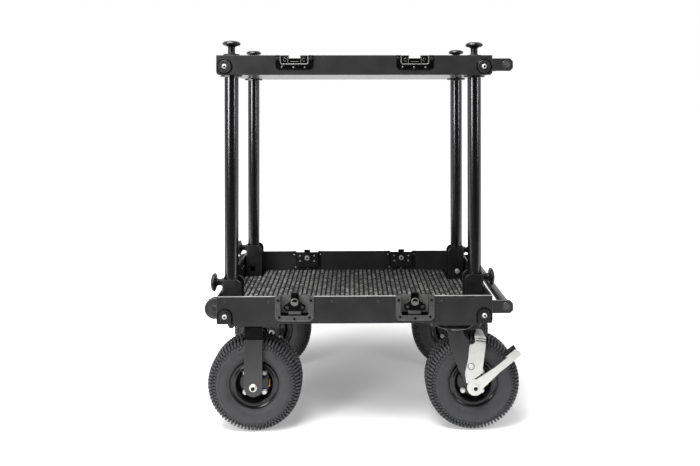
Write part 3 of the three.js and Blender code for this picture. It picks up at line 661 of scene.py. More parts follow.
def set_parts(part, places, finish, smallest=1.0, largest=1.0, seed=1):
    """A mesh with one part set at every (point, facing) place."""
    base = bpy.data.meshes.new("places")
    base.from_pydata([tuple(point) for point, _ in places], [], [])
    facing = base.attributes.new("facing", "FLOAT_VECTOR", "POINT")
    for entry, (_, way) in zip(facing.data, places):
        entry.vector = way
    master = shown(part.copy())
    mesh = grown(AT_POINTS, base, Part=master, Finish=finish, Smallest=smallest, Largest=largest, Seed=seed)
    bpy.data.objects.remove(master)
    return mesh


def fasteners(name, part, places, finish, slot, body):
    """One piece that holds all the fasteners of a kind on a body."""
    piece(name, set_parts(part, places, finish), finish, slot, body)


# Ways that a fastener faces
FRONT, BACK = Vector((0, -1, 0)), Vector((0, 1, 0))
RIGHT = Vector((1, 0, 0))
UP, DOWN = Vector((0, 0, 1)), Vector((0, 0, -1))


def outward(sign):
    return FRONT if sign < 0 else BACK


def turned_to(sign):
    """The turn of a part that is drawn for the front."""
    return Matrix.Identity(4) if sign < 0 else HALF_TURN



# Fasteners, each with its seat at zero and its head along +Z

def button_screw(radius=6.8, height=4.2, socket=3.4):
    dome = flowing([(radius, 0.8), (radius * 0.92, height * 0.55), (radius * 0.66, height * 0.92),
                    (radius * 0.4, height)], 3)
    head = turned([(0, 0), (radius, 0), *dome, (0, height)], sides=28)
    return carved(head, hexagon(socket * 2, (height * 0.35, height + OVERRUN), edge=0.1))


def slotted_screw(radius=5, height=2.4):
    head = turned([(0, 0), (radius, 0), (radius, 0.6), (radius * 0.8, height * 0.8),
                   (radius * 0.5, height), (0, height)], sides=20)
    slot = block((-radius * 1.2, radius * 1.2), (-0.7, 0.7), (height * 0.45, height + OVERRUN), 0.05)
    return carved(head, slot)


def blind_rivet(radius=4, height=1.8):
    return turned([(0, 0), (radius, 0), (radius * 0.95, height * 0.45), (radius * 0.66, height * 0.95),
                   (radius * 0.42, height), (radius * 0.36, height * 0.55), (0, height * 0.55)], sides=20)


def hex_bolt(across_corners=15, height=5.6, washer=9.2):
    seat = turned([(0, 0), (washer, 0), (washer, 1.2), (washer - 0.4, 1.6), (0, 1.6)], sides=28)
    crown = bar(across_corners / 2 * 0.8, (height, height + 0.5), "z", 0.3, 24)
    return merged(seat, hexagon(across_corners, (1.4, height + 0.2), edge=0.7), crown)


BUTTON_SCREW = button_screw()
SMALL_BUTTON_SCREW = button_screw(2.4, 1.6, 1.4)
# Painted shade: a black hexagon set inside each button screw's socket
SOCKET_SHADE = hexagon(6.4, (1, 3.6), edge=0.2)
SLOTTED_SCREW = slotted_screw()
FLANGE_SCREW = slotted_screw(3.6, 2)
RIVET = blind_rivet()
PALE_RIVET = blind_rivet(2.8, 1.5)
PLATE_BOLT = hex_bolt()
PIVOT_BOLT = hex_bolt(15, 5, 8.6)
RIM_BOLT = hex_bolt(13.5, 5.4, 7.6)


# Lower tray and top shelf: panels, bosses and catches

PANEL_EDGE = 0.9
LATCH_XS = sorted({round(middle(f"latch_dish_{corner}").x, 3) for corner in CORNERS})


def front_panel_outline(bottom, rim, notch_half_width, notch_drop, foot=DECK_CORNER):
    """A long panel with rounded lower corners and an open notch at each latch."""
    outline = arc((-HALF_LENGTH + foot, bottom + foot), foot, 180, 270)
    outline += arc((HALF_LENGTH - foot, bottom + foot), foot, 270, 360)
    outline.append((HALF_LENGTH, rim))
    for x in reversed(LATCH_XS):
        outline += [(x + notch_half_width, rim), (x + notch_half_width, rim - notch_drop),
                    (x - notch_half_width, rim - notch_drop), (x - notch_half_width, rim)]
    outline.append((-HALF_LENGTH, rim))
    return outline


def end_panel(bottom, rim):
    """The right end wall, with a rounded outer foot."""
    inner = HALF_LENGTH - DECK_WALL
    foot_centre = (HALF_LENGTH - DECK_CORNER, bottom + DECK_CORNER)
    start = -math.degrees(math.acos((inner - foot_centre[0]) / DECK_CORNER))
    section = [*arc(foot_centre, DECK_CORNER, start, 0), (HALF_LENGTH, rim), (inner, rim)]
    depth = HALF_DEPTH - DECK_WALL
    return plate([section], (-depth, depth))


def deck_panels(bottom, rim, notch_half_width, notch_drop):
    outline = front_panel_outline(bottom, rim, notch_half_width, notch_drop)
    front = plate([outline], (-HALF_DEPTH, -HALF_DEPTH + DECK_WALL), PANEL_EDGE)
    end = end_panel(bottom, rim)
    return front, mirrored(front), mirrored(end, (1, 0, 0)), end


BOSS_XS = (-HALF_LENGTH + BOSS_INSET, HALF_LENGTH - BOSS_INSET)
TRAY_BOSS_HEIGHT = TRAY_UNDERSIDE + TRAY_BOSS_RISE
SHELF_BOSS_HEIGHT = SHELF_RIM - SHELF_BOSS_DROP


def tray_bosses(inset, face):
    """Arched pads at the tray's lower corners."""
    bosses = []
    for x in BOSS_XS:
        radius = BOSS_RADIUS - inset
        arch = [(x - radius, TRAY_UNDERSIDE + 0.4), (x + radius, TRAY_UNDERSIDE + 0.4),
                *arc((x, TRAY_BOSS_HEIGHT), radius, 0, 180, 16)]
        front = plate([arch], (-HALF_DEPTH - face, -HALF_DEPTH + 1))
        bosses += [front, mirrored(front)]
    return bosses


def shelf_bosses(profile):
    """Round pads at the shelf's corners, from the profile of one."""
    disc = turned(profile)
    quarter = Matrix.Rotation(math.pi / 2, 4, "X")
    bosses = []
    for x in BOSS_XS:
        front = moved(disc, quarter, (x, -HALF_DEPTH, SHELF_BOSS_HEIGHT))
        bosses += [front, mirrored(front)]
    return bosses


def edge_highlight_strips(bottom, rim):
    """Painted highlights: thin pale strips at the two ends of the front panel."""
    face = (-HALF_DEPTH - 0.15, -HALF_DEPTH + 1)
    return merged(*(plate([rounded(sorted((sign * (HALF_LENGTH - 0.9), sign * (HALF_LENGTH + 0.1))),
                                   (bottom + DECK_CORNER, rim), (0,) * 4)], face, 0.1) for sign in (-1, 1)))


def rim_highlight_strips(rim, spans):
    """A painted highlight: a pale strip along the front panel's rim, over spans along X."""
    over = (-HALF_DEPTH - 0.15, -HALF_DEPTH + DECK_WALL + 0.15)
    return merged(*(block(span, over, (rim - 1.1, rim + 0.1), 0.1) for span in spans))


roller_middle = middle("loading_roller_front")
ROLLER_X = roller_middle.x
ROLLER_HEIGHT = roller_middle.z
ROLLER_ROW = abs(roller_middle.y)
ROLLER_RADIUS = reach("loading_roller_front")[1].z - ROLLER_HEIGHT
ROLLER_HALF_WIDTH = reach("loading_roller_front")[1].y - roller_middle.y


def roller_mounts():
    """An ear and a pin for each roller, on the left end wall."""
    ear_outline = [(-HALF_LENGTH + DECK_WALL, ROLLER_HEIGHT - ROLLER_EAR_RADIUS),
                   (-HALF_LENGTH + DECK_WALL, ROLLER_HEIGHT + ROLLER_EAR_RADIUS),
                   *arc((ROLLER_X, ROLLER_HEIGHT), ROLLER_EAR_RADIUS, 90, 270, 12)]
    face = -ROLLER_ROW + ROLLER_HALF_WIDTH + RUNNING_GAP
    ear = plate([ear_outline], (face, face + ROLLER_EAR_THICKNESS))
    pin = moved(bar(5, (-ROLLER_ROW - ROLLER_HALF_WIDTH, face + ROLLER_EAR_THICKNESS + 1)),
                (ROLLER_X, 0, ROLLER_HEIGHT))
    front = merged(ear, pin)
    return front, mirrored(front)


def roller_windows():
    half_height = ROLLER_RADIUS + 1.5
    inner = ROLLER_ROW - ROLLER_HALF_WIDTH - RUNNING_GAP
    outline = rounded((-HALF_DEPTH + DECK_WALL, -inner),
                      (ROLLER_HEIGHT - half_height, ROLLER_HEIGHT + half_height), (2,) * 4)
    front = plate([outline], (-HALF_LENGTH - OVERRUN, -HALF_LENGTH + DECK_WALL + OVERRUN), 0.1, "end")
    return front, mirrored(front)


def build_tray_frame():
    margin = RECESS_HALF_WIDTH + PRESSED_SHEET + SEAT_GAP
    front, rear, left, right = deck_panels(TRAY_UNDERSIDE, TRAY_RIM, margin,
                                           RECESS_DROP + PRESSED_SHEET + SEAT_GAP)
    left = carved(left, *roller_windows())
    shape = merged(front, rear, left, right, *roller_mounts())
    piece("tray_frame_panels", shape, POWDER_COAT, "powder_coat", "tray", "tray_frame")
    # Painted shadow: a black ring round each boss pad stands for the shadow round its edge
    piece("tray_boss_seats", merged(*tray_bosses(0, 1.4)), GLOSS_BLACK_AND_SHADE, "black_steel", "tray")
    piece("tray_boss_pads", merged(*tray_bosses(3.8, BOSS_THICKNESS)), COATED_STEEL, "black_steel", "tray")
    reach_out = DISH_HALF_WIDTH + 0.4
    ends = [-HALF_LENGTH, *(x + side * reach_out for x in LATCH_XS for side in (-1, 1)), HALF_LENGTH]
    spans = list(zip(ends[::2], ends[1::2]))
    # Painted highlight along the front rim, broken at the latch dishes
    piece("tray_bare_rim", rim_highlight_strips(TRAY_RIM, spans), PALE_METAL_AND_RIM_HIGHLIGHT, "powder_coat", "tray")
    # Painted highlights along the front panel's two end edges
    piece("tray_worn_ends", edge_highlight_strips(TRAY_UNDERSIDE, TRAY_RIM), LATCH_COAT, "powder_coat", "tray")


CATCH_BLOCK_OFFSET = 25.7
CATCH_BLOCK_HALF_WIDTH = 8.5


def shelf_catch():
    """One catch: a U pressing round a shallow recess, its outer face at Y zero and the rim at Z zero."""
    outer = rounded((-CATCH_HALF_WIDTH, CATCH_HALF_WIDTH), (-CATCH_DROP, 0),
                    (CATCH_CORNER, CATCH_CORNER, 0, 0))
    inner = rounded((-RECESS_HALF_WIDTH, RECESS_HALF_WIDTH), (-CATCH_RECESS_DROP, 0), (3, 3, 0, 0))
    flange = plate([open_topped(outer, inner)], (-CATCH_THICKNESS, 0), 0.6)
    wall = recess_wall(RECESS_HALF_WIDTH, CATCH_RECESS_DROP, 3, (-0.6, CATCH_RECESS_DEPTH))
    notch = CATCH_NOTCH_HALF_WIDTH
    back_outline = [(-RECESS_HALF_WIDTH - 1, -CATCH_RECESS_DROP - 1),
                    (RECESS_HALF_WIDTH + 1, -CATCH_RECESS_DROP - 1), (RECESS_HALF_WIDTH + 1, 0),
                    (notch, 0), (notch, -CATCH_NOTCH_DROP), (-notch, -CATCH_NOTCH_DROP), (-notch, 0),
                    (-RECESS_HALF_WIDTH - 1, 0)]
    back = plate([back_outline], (CATCH_RECESS_DEPTH - PRESSED_SHEET, CATCH_RECESS_DEPTH), 0.3)
    blocks = []
    for side in (-1, 1):
        x = side * CATCH_BLOCK_OFFSET
        across = (x - CATCH_BLOCK_HALF_WIDTH, x + CATCH_BLOCK_HALF_WIDTH)
        pad = plate([rounded(across, (-21, -4), (2,) * 4)], (1.5, CATCH_RECESS_DEPTH - 0.5), 0.8)
        dimple = moved(bar(4.6, (-1, 2.6), "y", 0.3, 24), (x, 0, -12.5))
        blocks.append(carved(pad, dimple))
    return merged(flange, wall, back, *blocks)


def open_topped(outer, inner):
    """One outline between an outer and an inner U, both open at the top and listed from the left foot."""
    def legs(outline):
        feet = outline[:-2]
        return [outline[-1], *feet, outline[-2]]
    return legs(outer) + legs(inner)[::-1]


def recess_wall(half_width, drop, corner, span):
    """The upright wall of a pressed recess, open at the top."""
    grown_by = PRESSED_SHEET
    outer = rounded((-half_width - grown_by, half_width + grown_by), (-drop - grown_by, 0),
                    (corner + grown_by, corner + grown_by, 0, 0))
    inner = rounded((-half_width, half_width), (-drop, 0), (corner, corner, 0, 0))
    return plate([open_topped(outer, inner)], span, 0.3)


def catch_highlight_lines():
    """Painted highlights on a catch: pale rods round the recess, round its two blocks, beside its side screws
    and along its notch.
    """
    half, drop = RECESS_HALF_WIDTH - 0.4, CATCH_RECESS_DROP - 0.4
    line = [(-half, -0.8), *arc((-half + 5, -drop + 5), 5, 180, 270),
            *arc((half - 5, -drop + 5), 5, 270, 360), (half, -0.8)]
    lips = [rod([(x, -CATCH_THICKNESS + 0.3, z) for x, z in line], 1.5)]
    for side in (-1, 1):
        inner = side * (CATCH_BLOCK_OFFSET - CATCH_BLOCK_HALF_WIDTH + 0.4)
        middle_x = side * CATCH_BLOCK_OFFSET
        lips.append(rod([(inner, 1.6, -4), (inner, 1.6, -20.5)], 0.7))
        ring = arc((middle_x, -12.5), 4.4, 20, 300, 12)
        lips.append(rod([(x, 1.4, z) for x, z in ring], 0.55))
        mark = arc((side * 45, -9.5), 3.6, -60, 150, 8)
        lips.append(rod([(x, -CATCH_THICKNESS, z) for x, z in mark], 0.5))
    reach_in = CATCH_RECESS_DEPTH - PRESSED_SHEET
    lips.append(rod([(-12, reach_in, -17.5), (12, reach_in, -17.5)], 0.5))
    return merged(*lips)


def seats(y_face, rim):
    """The four places of a latch or catch along the decks' rims: front ones as drawn, rear ones turned."""
    for x in LATCH_XS:
        yield "front", x, Matrix.Translation((x, -y_face, rim))
        yield "rear", x, Matrix.Translation((x, y_face, rim)) @ HALF_TURN


def build_shelf_frame():
    panels = deck_panels(SHELF_UNDERSIDE, SHELF_RIM, RECESS_HALF_WIDTH + PRESSED_SHEET / 2,
                         CATCH_RECESS_DROP + PRESSED_SHEET / 2)
    piece("shelf_frame_panels", merged(*panels), POWDER_COAT, "powder_coat", "shelf", "shelf_frame")
    # Painted shadow: a black ring round each boss pad stands for the shadow round its edge
    boss_shadow_ring = [(0, -1), (BOSS_RADIUS, -1), (BOSS_RADIUS, 0.8), (BOSS_RADIUS - 0.6, 1.4), (0, 1.4)]
    boss_pad = [(0, 0), (17.6, 0), (17.6, 2.2), (16.8, BOSS_THICKNESS), (0, BOSS_THICKNESS)]
    piece("shelf_boss_seats", merged(*shelf_bosses(boss_shadow_ring)), GLOSS_BLACK_AND_SHADE, "black_steel", "shelf")
    piece("shelf_boss_pads", merged(*shelf_bosses(boss_pad)), POWDER_COAT, "powder_coat", "shelf")
    # Painted highlights along the front panel's two end edges
    piece("shelf_worn_ends", edge_highlight_strips(SHELF_UNDERSIDE, SHELF_RIM), LATCH_COAT, "powder_coat", "shelf")
    catch, lips = shelf_catch(), catch_highlight_lines()
    places = [place for _, _, place in seats(HALF_DEPTH, SHELF_RIM)]
    piece("shelf_catches", merged(*(moved(catch, place) for place in places)), GLOSS_BLACK_AND_SHADE, "black_steel", "shelf")
    # Painted highlights along the catches' edges
    piece("shelf_catch_lips", merged(*(moved(lips, place) for place in places)), PALE_GREY_AND_HIGHLIGHT, "latch_dish",
          "shelf")


build_tray_frame()
build_shelf_frame()
dress("tray_floor", POWDER_COAT)
dress("shelf_floor", SMOOTH_COAT)


# Carpets: ribs of tufts on a backing, clear of the brackets or sockets

RIB_ROW_OFFSET = 2.1
TUFT_PITCH = 8.6
TUFT_RADIUS = 2.9
TUFT_STRETCH = 1.7
BACKING_THICKNESS = 2.4
SOCKET_ROOM = 22.5
SOCKET_HOLE = 22.6


TUFT = lump(1, TUFT_RADIUS, TUFT_STRETCH)


def tuft_places(low, high, top, is_clear, seed):
    """Tuft places in pairs of rows along each rib, with a little seeded scatter."""
    draw = random.Random(seed)
    ribs = int((high.x - low.x) / CARPET_RIB_PITCH)
    start = (low.x + high.x - (ribs - 1) * CARPET_RIB_PITCH) / 2
    end = TUFT_RADIUS * TUFT_STRETCH + 1
    along = int((high.y - low.y - 2 * end - TUFT_PITCH / 2) / TUFT_PITCH)
    places = []
    for rib in range(ribs):
        for side in (-1, 1):
            for step in range(along + 1):
                x = start + rib * CARPET_RIB_PITCH + side * RIB_ROW_OFFSET + draw.uniform(-0.3, 0.3)
                y = low.y + end + (step + (0.5 if side > 0 else 0)) * TUFT_PITCH + draw.uniform(-0.8, 0.8)
                drop = draw.uniform(0, 0.8)
                tilt = Vector((-0.35, 1, draw.uniform(-0.1, 0.1)))
                if is_clear(x, y):
                    places.append((Vector((x, y, top - TUFT_RADIUS - drop)), tilt))
    return places


def build_carpet(name, body, backing, is_clear, seed):
    low, high = reach(name)
    places = tuft_places(low, high, high.z, is_clear, seed)
    pile = set_parts(TUFT, places, PILE, 0.82, 1.0, seed)
    piece(f"{name}_pile", pile, PILE, "loop_pile_carpet", body, name, sharp=80)
    piece(f"{name}_backing", backing(low, high), BACKING, "loop_pile_carpet", body)


post_middles = {corner: middle(f"post_{corner}") for corner in CORNERS}
NOTCH_REACH = BRACKET_REACH + 4
NOTCH_HALF_WIDTH = BRACKET_HALF_WIDTH + 4


def clear_of_brackets(x, y):
    for place in post_middles.values():
        outward = 1 if place.x > 0 else -1
        beside = y * (1 if place.y > 0 else -1) > abs(place.y) - NOTCH_HALF_WIDTH - TUFT_RADIUS
        if beside and x * outward > abs(place.x) - NOTCH_REACH - TUFT_RADIUS:
            return False
    return True


def clear_of_sockets(x, y):
    return all(math.hypot(x - p.x, y - p.y) > SOCKET_ROOM + TUFT_RADIUS for p in post_middles.values())


def tray_backing(low, high):
    """A slab with a notch at each bracket."""
    slab = block((low.x, high.x), (low.y, high.y), (low.z, low.z + BACKING_THICKNESS), 0.3)
    notches = []
    for place in post_middles.values():
        x_inner = math.copysign(abs(place.x) - NOTCH_REACH, place.x)
        y_inner = math.copysign(abs(place.y) - NOTCH_HALF_WIDTH, place.y)
        x_far = math.copysign(HALF_LENGTH + OVERRUN, place.x)
        y_far = math.copysign(HALF_DEPTH + OVERRUN, place.y)
        notches.append(block(sorted((x_inner, x_far)), sorted((y_inner, y_far)),
                             (low.z - OVERRUN, high.z + OVERRUN), 0.1))
    return carved(slab, *notches)


def shelf_backing(low, high):
    """A slab with a round hole at each socket."""
    outline = rounded((low.x, high.x), (low.y, high.y), (0,) * 4)
    holes = [circle((p.x, p.y), SOCKET_HOLE, 32) for p in post_middles.values()]
    return plate([outline, *holes], (low.z, low.z + BACKING_THICKNESS), 0.3, "flat")


build_carpet("tray_carpet", "tray", tray_backing, clear_of_brackets, 11)
build_carpet("shelf_carpet", "shelf", shelf_backing, clear_of_sockets, 12)


# Posts with their brackets, plungers and top knobs; the outer side is +X as drawn

def post_shape(length):
    """A hollow tube whose foot is rounded about the pivot, the pivot at the origin."""
    sides = 48
    turns = [2 * math.pi * i / sides for i in range(sides)]
    outer = [(POST_RADIUS * math.cos(t), POST_RADIUS * math.sin(t)) for t in turns]
    inner = [(x * (1 - POST_WALL / POST_RADIUS), y * (1 - POST_WALL / POST_RADIUS)) for x, y in outer]
    foot = [(x, y, -math.sqrt(max(POST_RADIUS ** 2 - x * x, 0))) for x, y in outer]
    rows = [foot, [(x, y, length - 0.6) for x, y in outer],
            [(x * 0.97, y * 0.97, length) for x, y in outer],
            [(x * 1.03, y * 1.03, length) for x, y in inner], [(x, y, length - 0.6) for x, y in inner],
            [(x, y, POST_RADIUS) for x, y in inner]]
    points = [point for row in rows for point in row]
    faces = []
    for row in range(len(rows) - 1):
        for i in range(sides):
            j = (i + 1) % sides
            faces.append([row * sides + i, row * sides + j, (row + 1) * sides + j, (row + 1) * sides + i])
    faces.append([(len(rows) - 1) * sides + i for i in range(sides)])
    for i in range(sides // 2):
        quad = list(dict.fromkeys((i, i + 1, (sides - i - 1) % sides, (sides - i) % sides)))
        faces.append(quad)
    return shape_of(points, faces)


def cap_profile(start):
    """A mushroom cap with a rolled edge and a slightly dished crown, from its neck upwards."""
    return [(r, start + h) for r, h in flowing([
        (STEM_RADIUS, 0), (STEM_RADIUS + 0.9, 2.2), (15.5, 4.6), (21.4, 6.4), (CAP_RADIUS - 0.4, 8.6),
        (CAP_RADIUS, 10.4), (CAP_RADIUS - 0.9, 13.2), (22, 15.8), (17.5, 17.9), (12.5, 19), (7, 18.7),
        (0.4, 18.4)])] + [(0, start + 18.4)]


def bracket_shape():
    """A folded channel round the post's foot: two cheeks and an outer wall on a base."""
    bottom, top = BRACKET_BOTTOM - PIVOT_HEIGHT, BRACKET_TOP - PIVOT_HEIGHT
    half, inside = BRACKET_HALF_WIDTH, BRACKET_HALF_WIDTH - DECK_WALL
    wall = BRACKET_OUTER - BRACKET_SHEET
    channel = [(-BRACKET_REACH, -half),
               *arc((BRACKET_OUTER - BRACKET_BEND, -half + BRACKET_BEND), BRACKET_BEND, 270, 360),
               *arc((BRACKET_OUTER - BRACKET_BEND, half - BRACKET_BEND), BRACKET_BEND, 0, 90),
               (-BRACKET_REACH, half), (-BRACKET_REACH, inside), (wall, inside), (wall, -inside),
               (-BRACKET_REACH, -inside)]
    folded = plate([channel], (bottom, top), 0.6, "flat")
    centre = (-BRACKET_REACH + BRACKET_CORNER, top - BRACKET_CORNER)
    waste = [*arc(centre, BRACKET_CORNER, 90, 180, 10), (-BRACKET_REACH - 5, centre[1]),
             (-BRACKET_REACH - 5, top + 5), (centre[0], top + 5)]
    trimmed = carved(folded, plate([waste], (-half - 5, half + 5), 0.05))
    base = block((-BRACKET_REACH, BRACKET_OUTER), (-half, half), (bottom, bottom + 3.7), 0.6, 3)
    return trimmed, base


def barrel_shape(height):
    """The plunger's threaded barrel with its lock nut."""
    tip = BRACKET_OUTER + BARREL_LENGTH
    rings = []
    for i in range(5):
        start = BRACKET_OUTER + 6.4 + i * 1.4
        rings += [(BARREL_RADIUS, start), (BARREL_RADIUS - 0.5, start + 0.7)]
    profile = [(0, BRACKET_OUTER - 1), (BARREL_RADIUS, BRACKET_OUTER - 1), *rings,
               (BARREL_RADIUS, tip - 0.6), (BARREL_RADIUS - 0.6, tip), (0, tip)]
    nut = hexagon(23.5, (BRACKET_OUTER + 0.3, BRACKET_OUTER + 6), "x", 0.8)
    return moved(merged(turned(profile, "x", 32), nut), (0, 0, height))


def plunger_shape():
    """A pull knob on a spring pin."""
    start = BRACKET_OUTER + BARREL_LENGTH + RUNNING_GAP
    knob = turned([(0, start), *cap_profile(start)], "x", 48)
    pin = bar(PLUNGER_PIN_RADIUS, (POST_RADIUS + RUNNING_GAP, start + 4), "x")
    return knob, pin


def knob_shape():
    """A clamp knob: stud, flared base, stem and mushroom cap, its seat at zero."""
    flare = flowing([(BASE_RADIUS, 1.2), (BASE_RADIUS - 0.7, 3), (19, 4), (13, 4.8),
                     (STEM_RADIUS + 0.4, 6.4), (STEM_RADIUS, 9)], 4)
    return turned([(0, -STUD_LENGTH), (STUD_RADIUS, -STUD_LENGTH), (STUD_RADIUS, 0),
                   (BASE_RADIUS - 0.6, 0), *flare, *cap_profile(STEM_TOP)], "z", 56)


def build_columns():
    post_top = reach("post_front_left")[1].z
    post = post_shape(post_top - PIVOT_HEIGHT)
    folded, base = bracket_shape()
    bolt_ends = []
    knob, pin = plunger_shape()
    clamp = knob_shape()
    for corner, centre in post_middles.items():
        turn = Matrix.Identity(4) if centre.x > 0 else HALF_TURN
        foot = Matrix.Translation((centre.x, centre.y, PIVOT_HEIGHT)) @ turn
        plunger_height = middle(f"index_plunger_{corner}").z
        barrel = barrel_shape(plunger_height - PIVOT_HEIGHT)
        piece(f"post_tube_{corner}", moved(post, foot), ANODISED, "anodised_tube", f"post_{corner}",
              f"post_{corner}")
        piece(f"bracket_channel_{corner}", moved(merged(folded, base, barrel), foot), COATED_STEEL,
              "black_steel", "tray", f"post_bracket_{corner}")
        at_plunger = Matrix.Translation((centre.x, centre.y, plunger_height)) @ turn
        piece(f"plunger_knob_{corner}", moved(knob, at_plunger), MOULDED, "moulded_knob",
              f"plunger_{corner}", f"index_plunger_{corner}", sharp=40)
        piece(f"plunger_pin_{corner}", moved(pin, at_plunger), ZINC, "zinc_steel", f"plunger_{corner}")
        seat = (centre.x, centre.y, SOCKET_TOP + SEAT_GAP)
        piece(f"clamp_knob_{corner}", moved(clamp, seat), MOULDED, "moulded_knob",
              f"top_knob_{corner}", f"top_knob_{corner}", sharp=40)
        for side, way in ((-1, FRONT), (1, BACK)):
            bolt_ends.append((foot @ Vector((0, side * BRACKET_HALF_WIDTH, 0)), way))
    fasteners("bracket_pivot_bolts", PIVOT_BOLT, bolt_ends, ZINC, "zinc_steel", "tray")


build_columns()


# Butterfly latches, with the panel's outer face at Y zero and the rim at Z zero

def dish_shape():
    """A pressed dish: flange, wall and back, open at the top."""
    outer = rounded((-DISH_HALF_WIDTH, DISH_HALF_WIDTH), (-DISH_DROP, 0), (DISH_CORNER, DISH_CORNER, 0, 0))
    inner = rounded((-RECESS_HALF_WIDTH, RECESS_HALF_WIDTH), (-RECESS_DROP, 0),
                    (RECESS_CORNER, RECESS_CORNER, 0, 0))
    flange = plate([open_topped(outer, inner)], (FLANGE_FACE, -SEAT_GAP), 0.6)
    wall = recess_wall(RECESS_HALF_WIDTH, RECESS_DROP, RECESS_CORNER, (-1, RECESS_DEPTH + PRESSED_SHEET))
    edge = RECESS_HALF_WIDTH + PRESSED_SHEET
    back = rounded((-edge, edge), (-RECESS_DROP - PRESSED_SHEET, 0), (8, 8, 0, 0))
    bead = rounded((-DISH_HALF_WIDTH + 1.4, DISH_HALF_WIDTH - 1.4), (-DISH_DROP + 1.4, 0),
                   (DISH_CORNER - 1, DISH_CORNER - 1, 0, 0))
    edge_roll = rod([(x, FLANGE_FACE + 0.2, z) for x, z in [bead[-1], *bead[:-1]]], 0.9)
    lining = rounded((-RECESS_HALF_WIDTH + 0.2, RECESS_HALF_WIDTH - 0.2), (-RECESS_DROP + 0.2, -0.2),
                     (RECESS_CORNER - 1, RECESS_CORNER - 1, 0, 0))
    return (merged(flange, edge_roll), wall,
            plate([back], (RECESS_DEPTH, RECESS_DEPTH + PRESSED_SHEET), 0.3),
            plate([lining], (RECESS_DEPTH - 0.3, RECESS_DEPTH + 0.2), 0.1))


def dish_shadow_wells():
    """Painted shade: black wells at the lower corners of the dish, beside the strike."""
    return merged(*(plate([rounded(sorted((side * 17.8, side * 37)), (-52.8, -49.2), (1.4,) * 4)],
                          (RECESS_DEPTH - 0.5, RECESS_DEPTH + 0.4), 0.2) for side in (-1, 1)))


def wing_shape():
    """A butterfly wing on its barrel, the turning axis at the origin."""
    lobe, side, drop = 9.5, 20.8, 15
    outline = [*arc((side, -drop), lobe, -90, 78, 9), *arc((0, 0), 10.5, 22, 158, 8),
               *arc((-side, -drop), lobe, 102, 270, 9)]
    holes = [circle((x, -drop), 4.5, 20) for x in (-side, side)]
    blade = plate([outline, *holes], (2.8, 6.8), 0.8)
    barrel = turned([(0, 2.6), (9.6, 2.6), (10.5, 3.4), (10.5, 10.4), (4, 10.4), (4, 14.7), (0, 14.7)],
                    "y", 40)
    notch = plate([arc((0, 1.2), 7.8, 2, 178, 12)], (0.7, 2.7), 0.1)
    return merged(blade, barrel, notch)


def barrel_face_shape():
    """The pale face of the wing's barrel."""
    return turned([(0, 1.1), (9.3, 1.1), (10.2, 1.6), (10.5, 2.8), (0, 2.8)], "y", 40)


def hook_shape():
    """A slotted draw hook with a nose towards the panel's outer face."""
    back, front = RECESS_DEPTH - SEAT_GAP, RECESS_DEPTH - SEAT_GAP - 4
    outline = [(-10.5, 7), (-10.5, -27), (-5, -27), *arc((0, -12), 5, 180, 0, 8), (5, -27), (10.5, -27),
               (10.5, 7)]
    nose = block((-10.5, 10.5), (front - 3.2, back), (3.8, 7), 0.6, 0.8)
    return merged(plate([outline], (front, back)), nose)


def latch_finish_places():
    """Where the small fasteners of a latch sit: slotted screws, back rivets and screw tails."""
    screws = [(x, FLANGE_FACE, z) for x, z in ((-45, -11), (45, -11), (-41, -57), (41, -57), (0, -61))]
    backs = [(x, RECESS_DEPTH + PRESSED_SHEET, z) for x in (-25, 25) for z in (-13.4, -31.2)]
    tails = [(x, DECK_WALL, z) for x, z in ((-41, -56), (0, -60.4), (41, -56), (-46, -12), (46, -12))]
    return screws, backs, tails


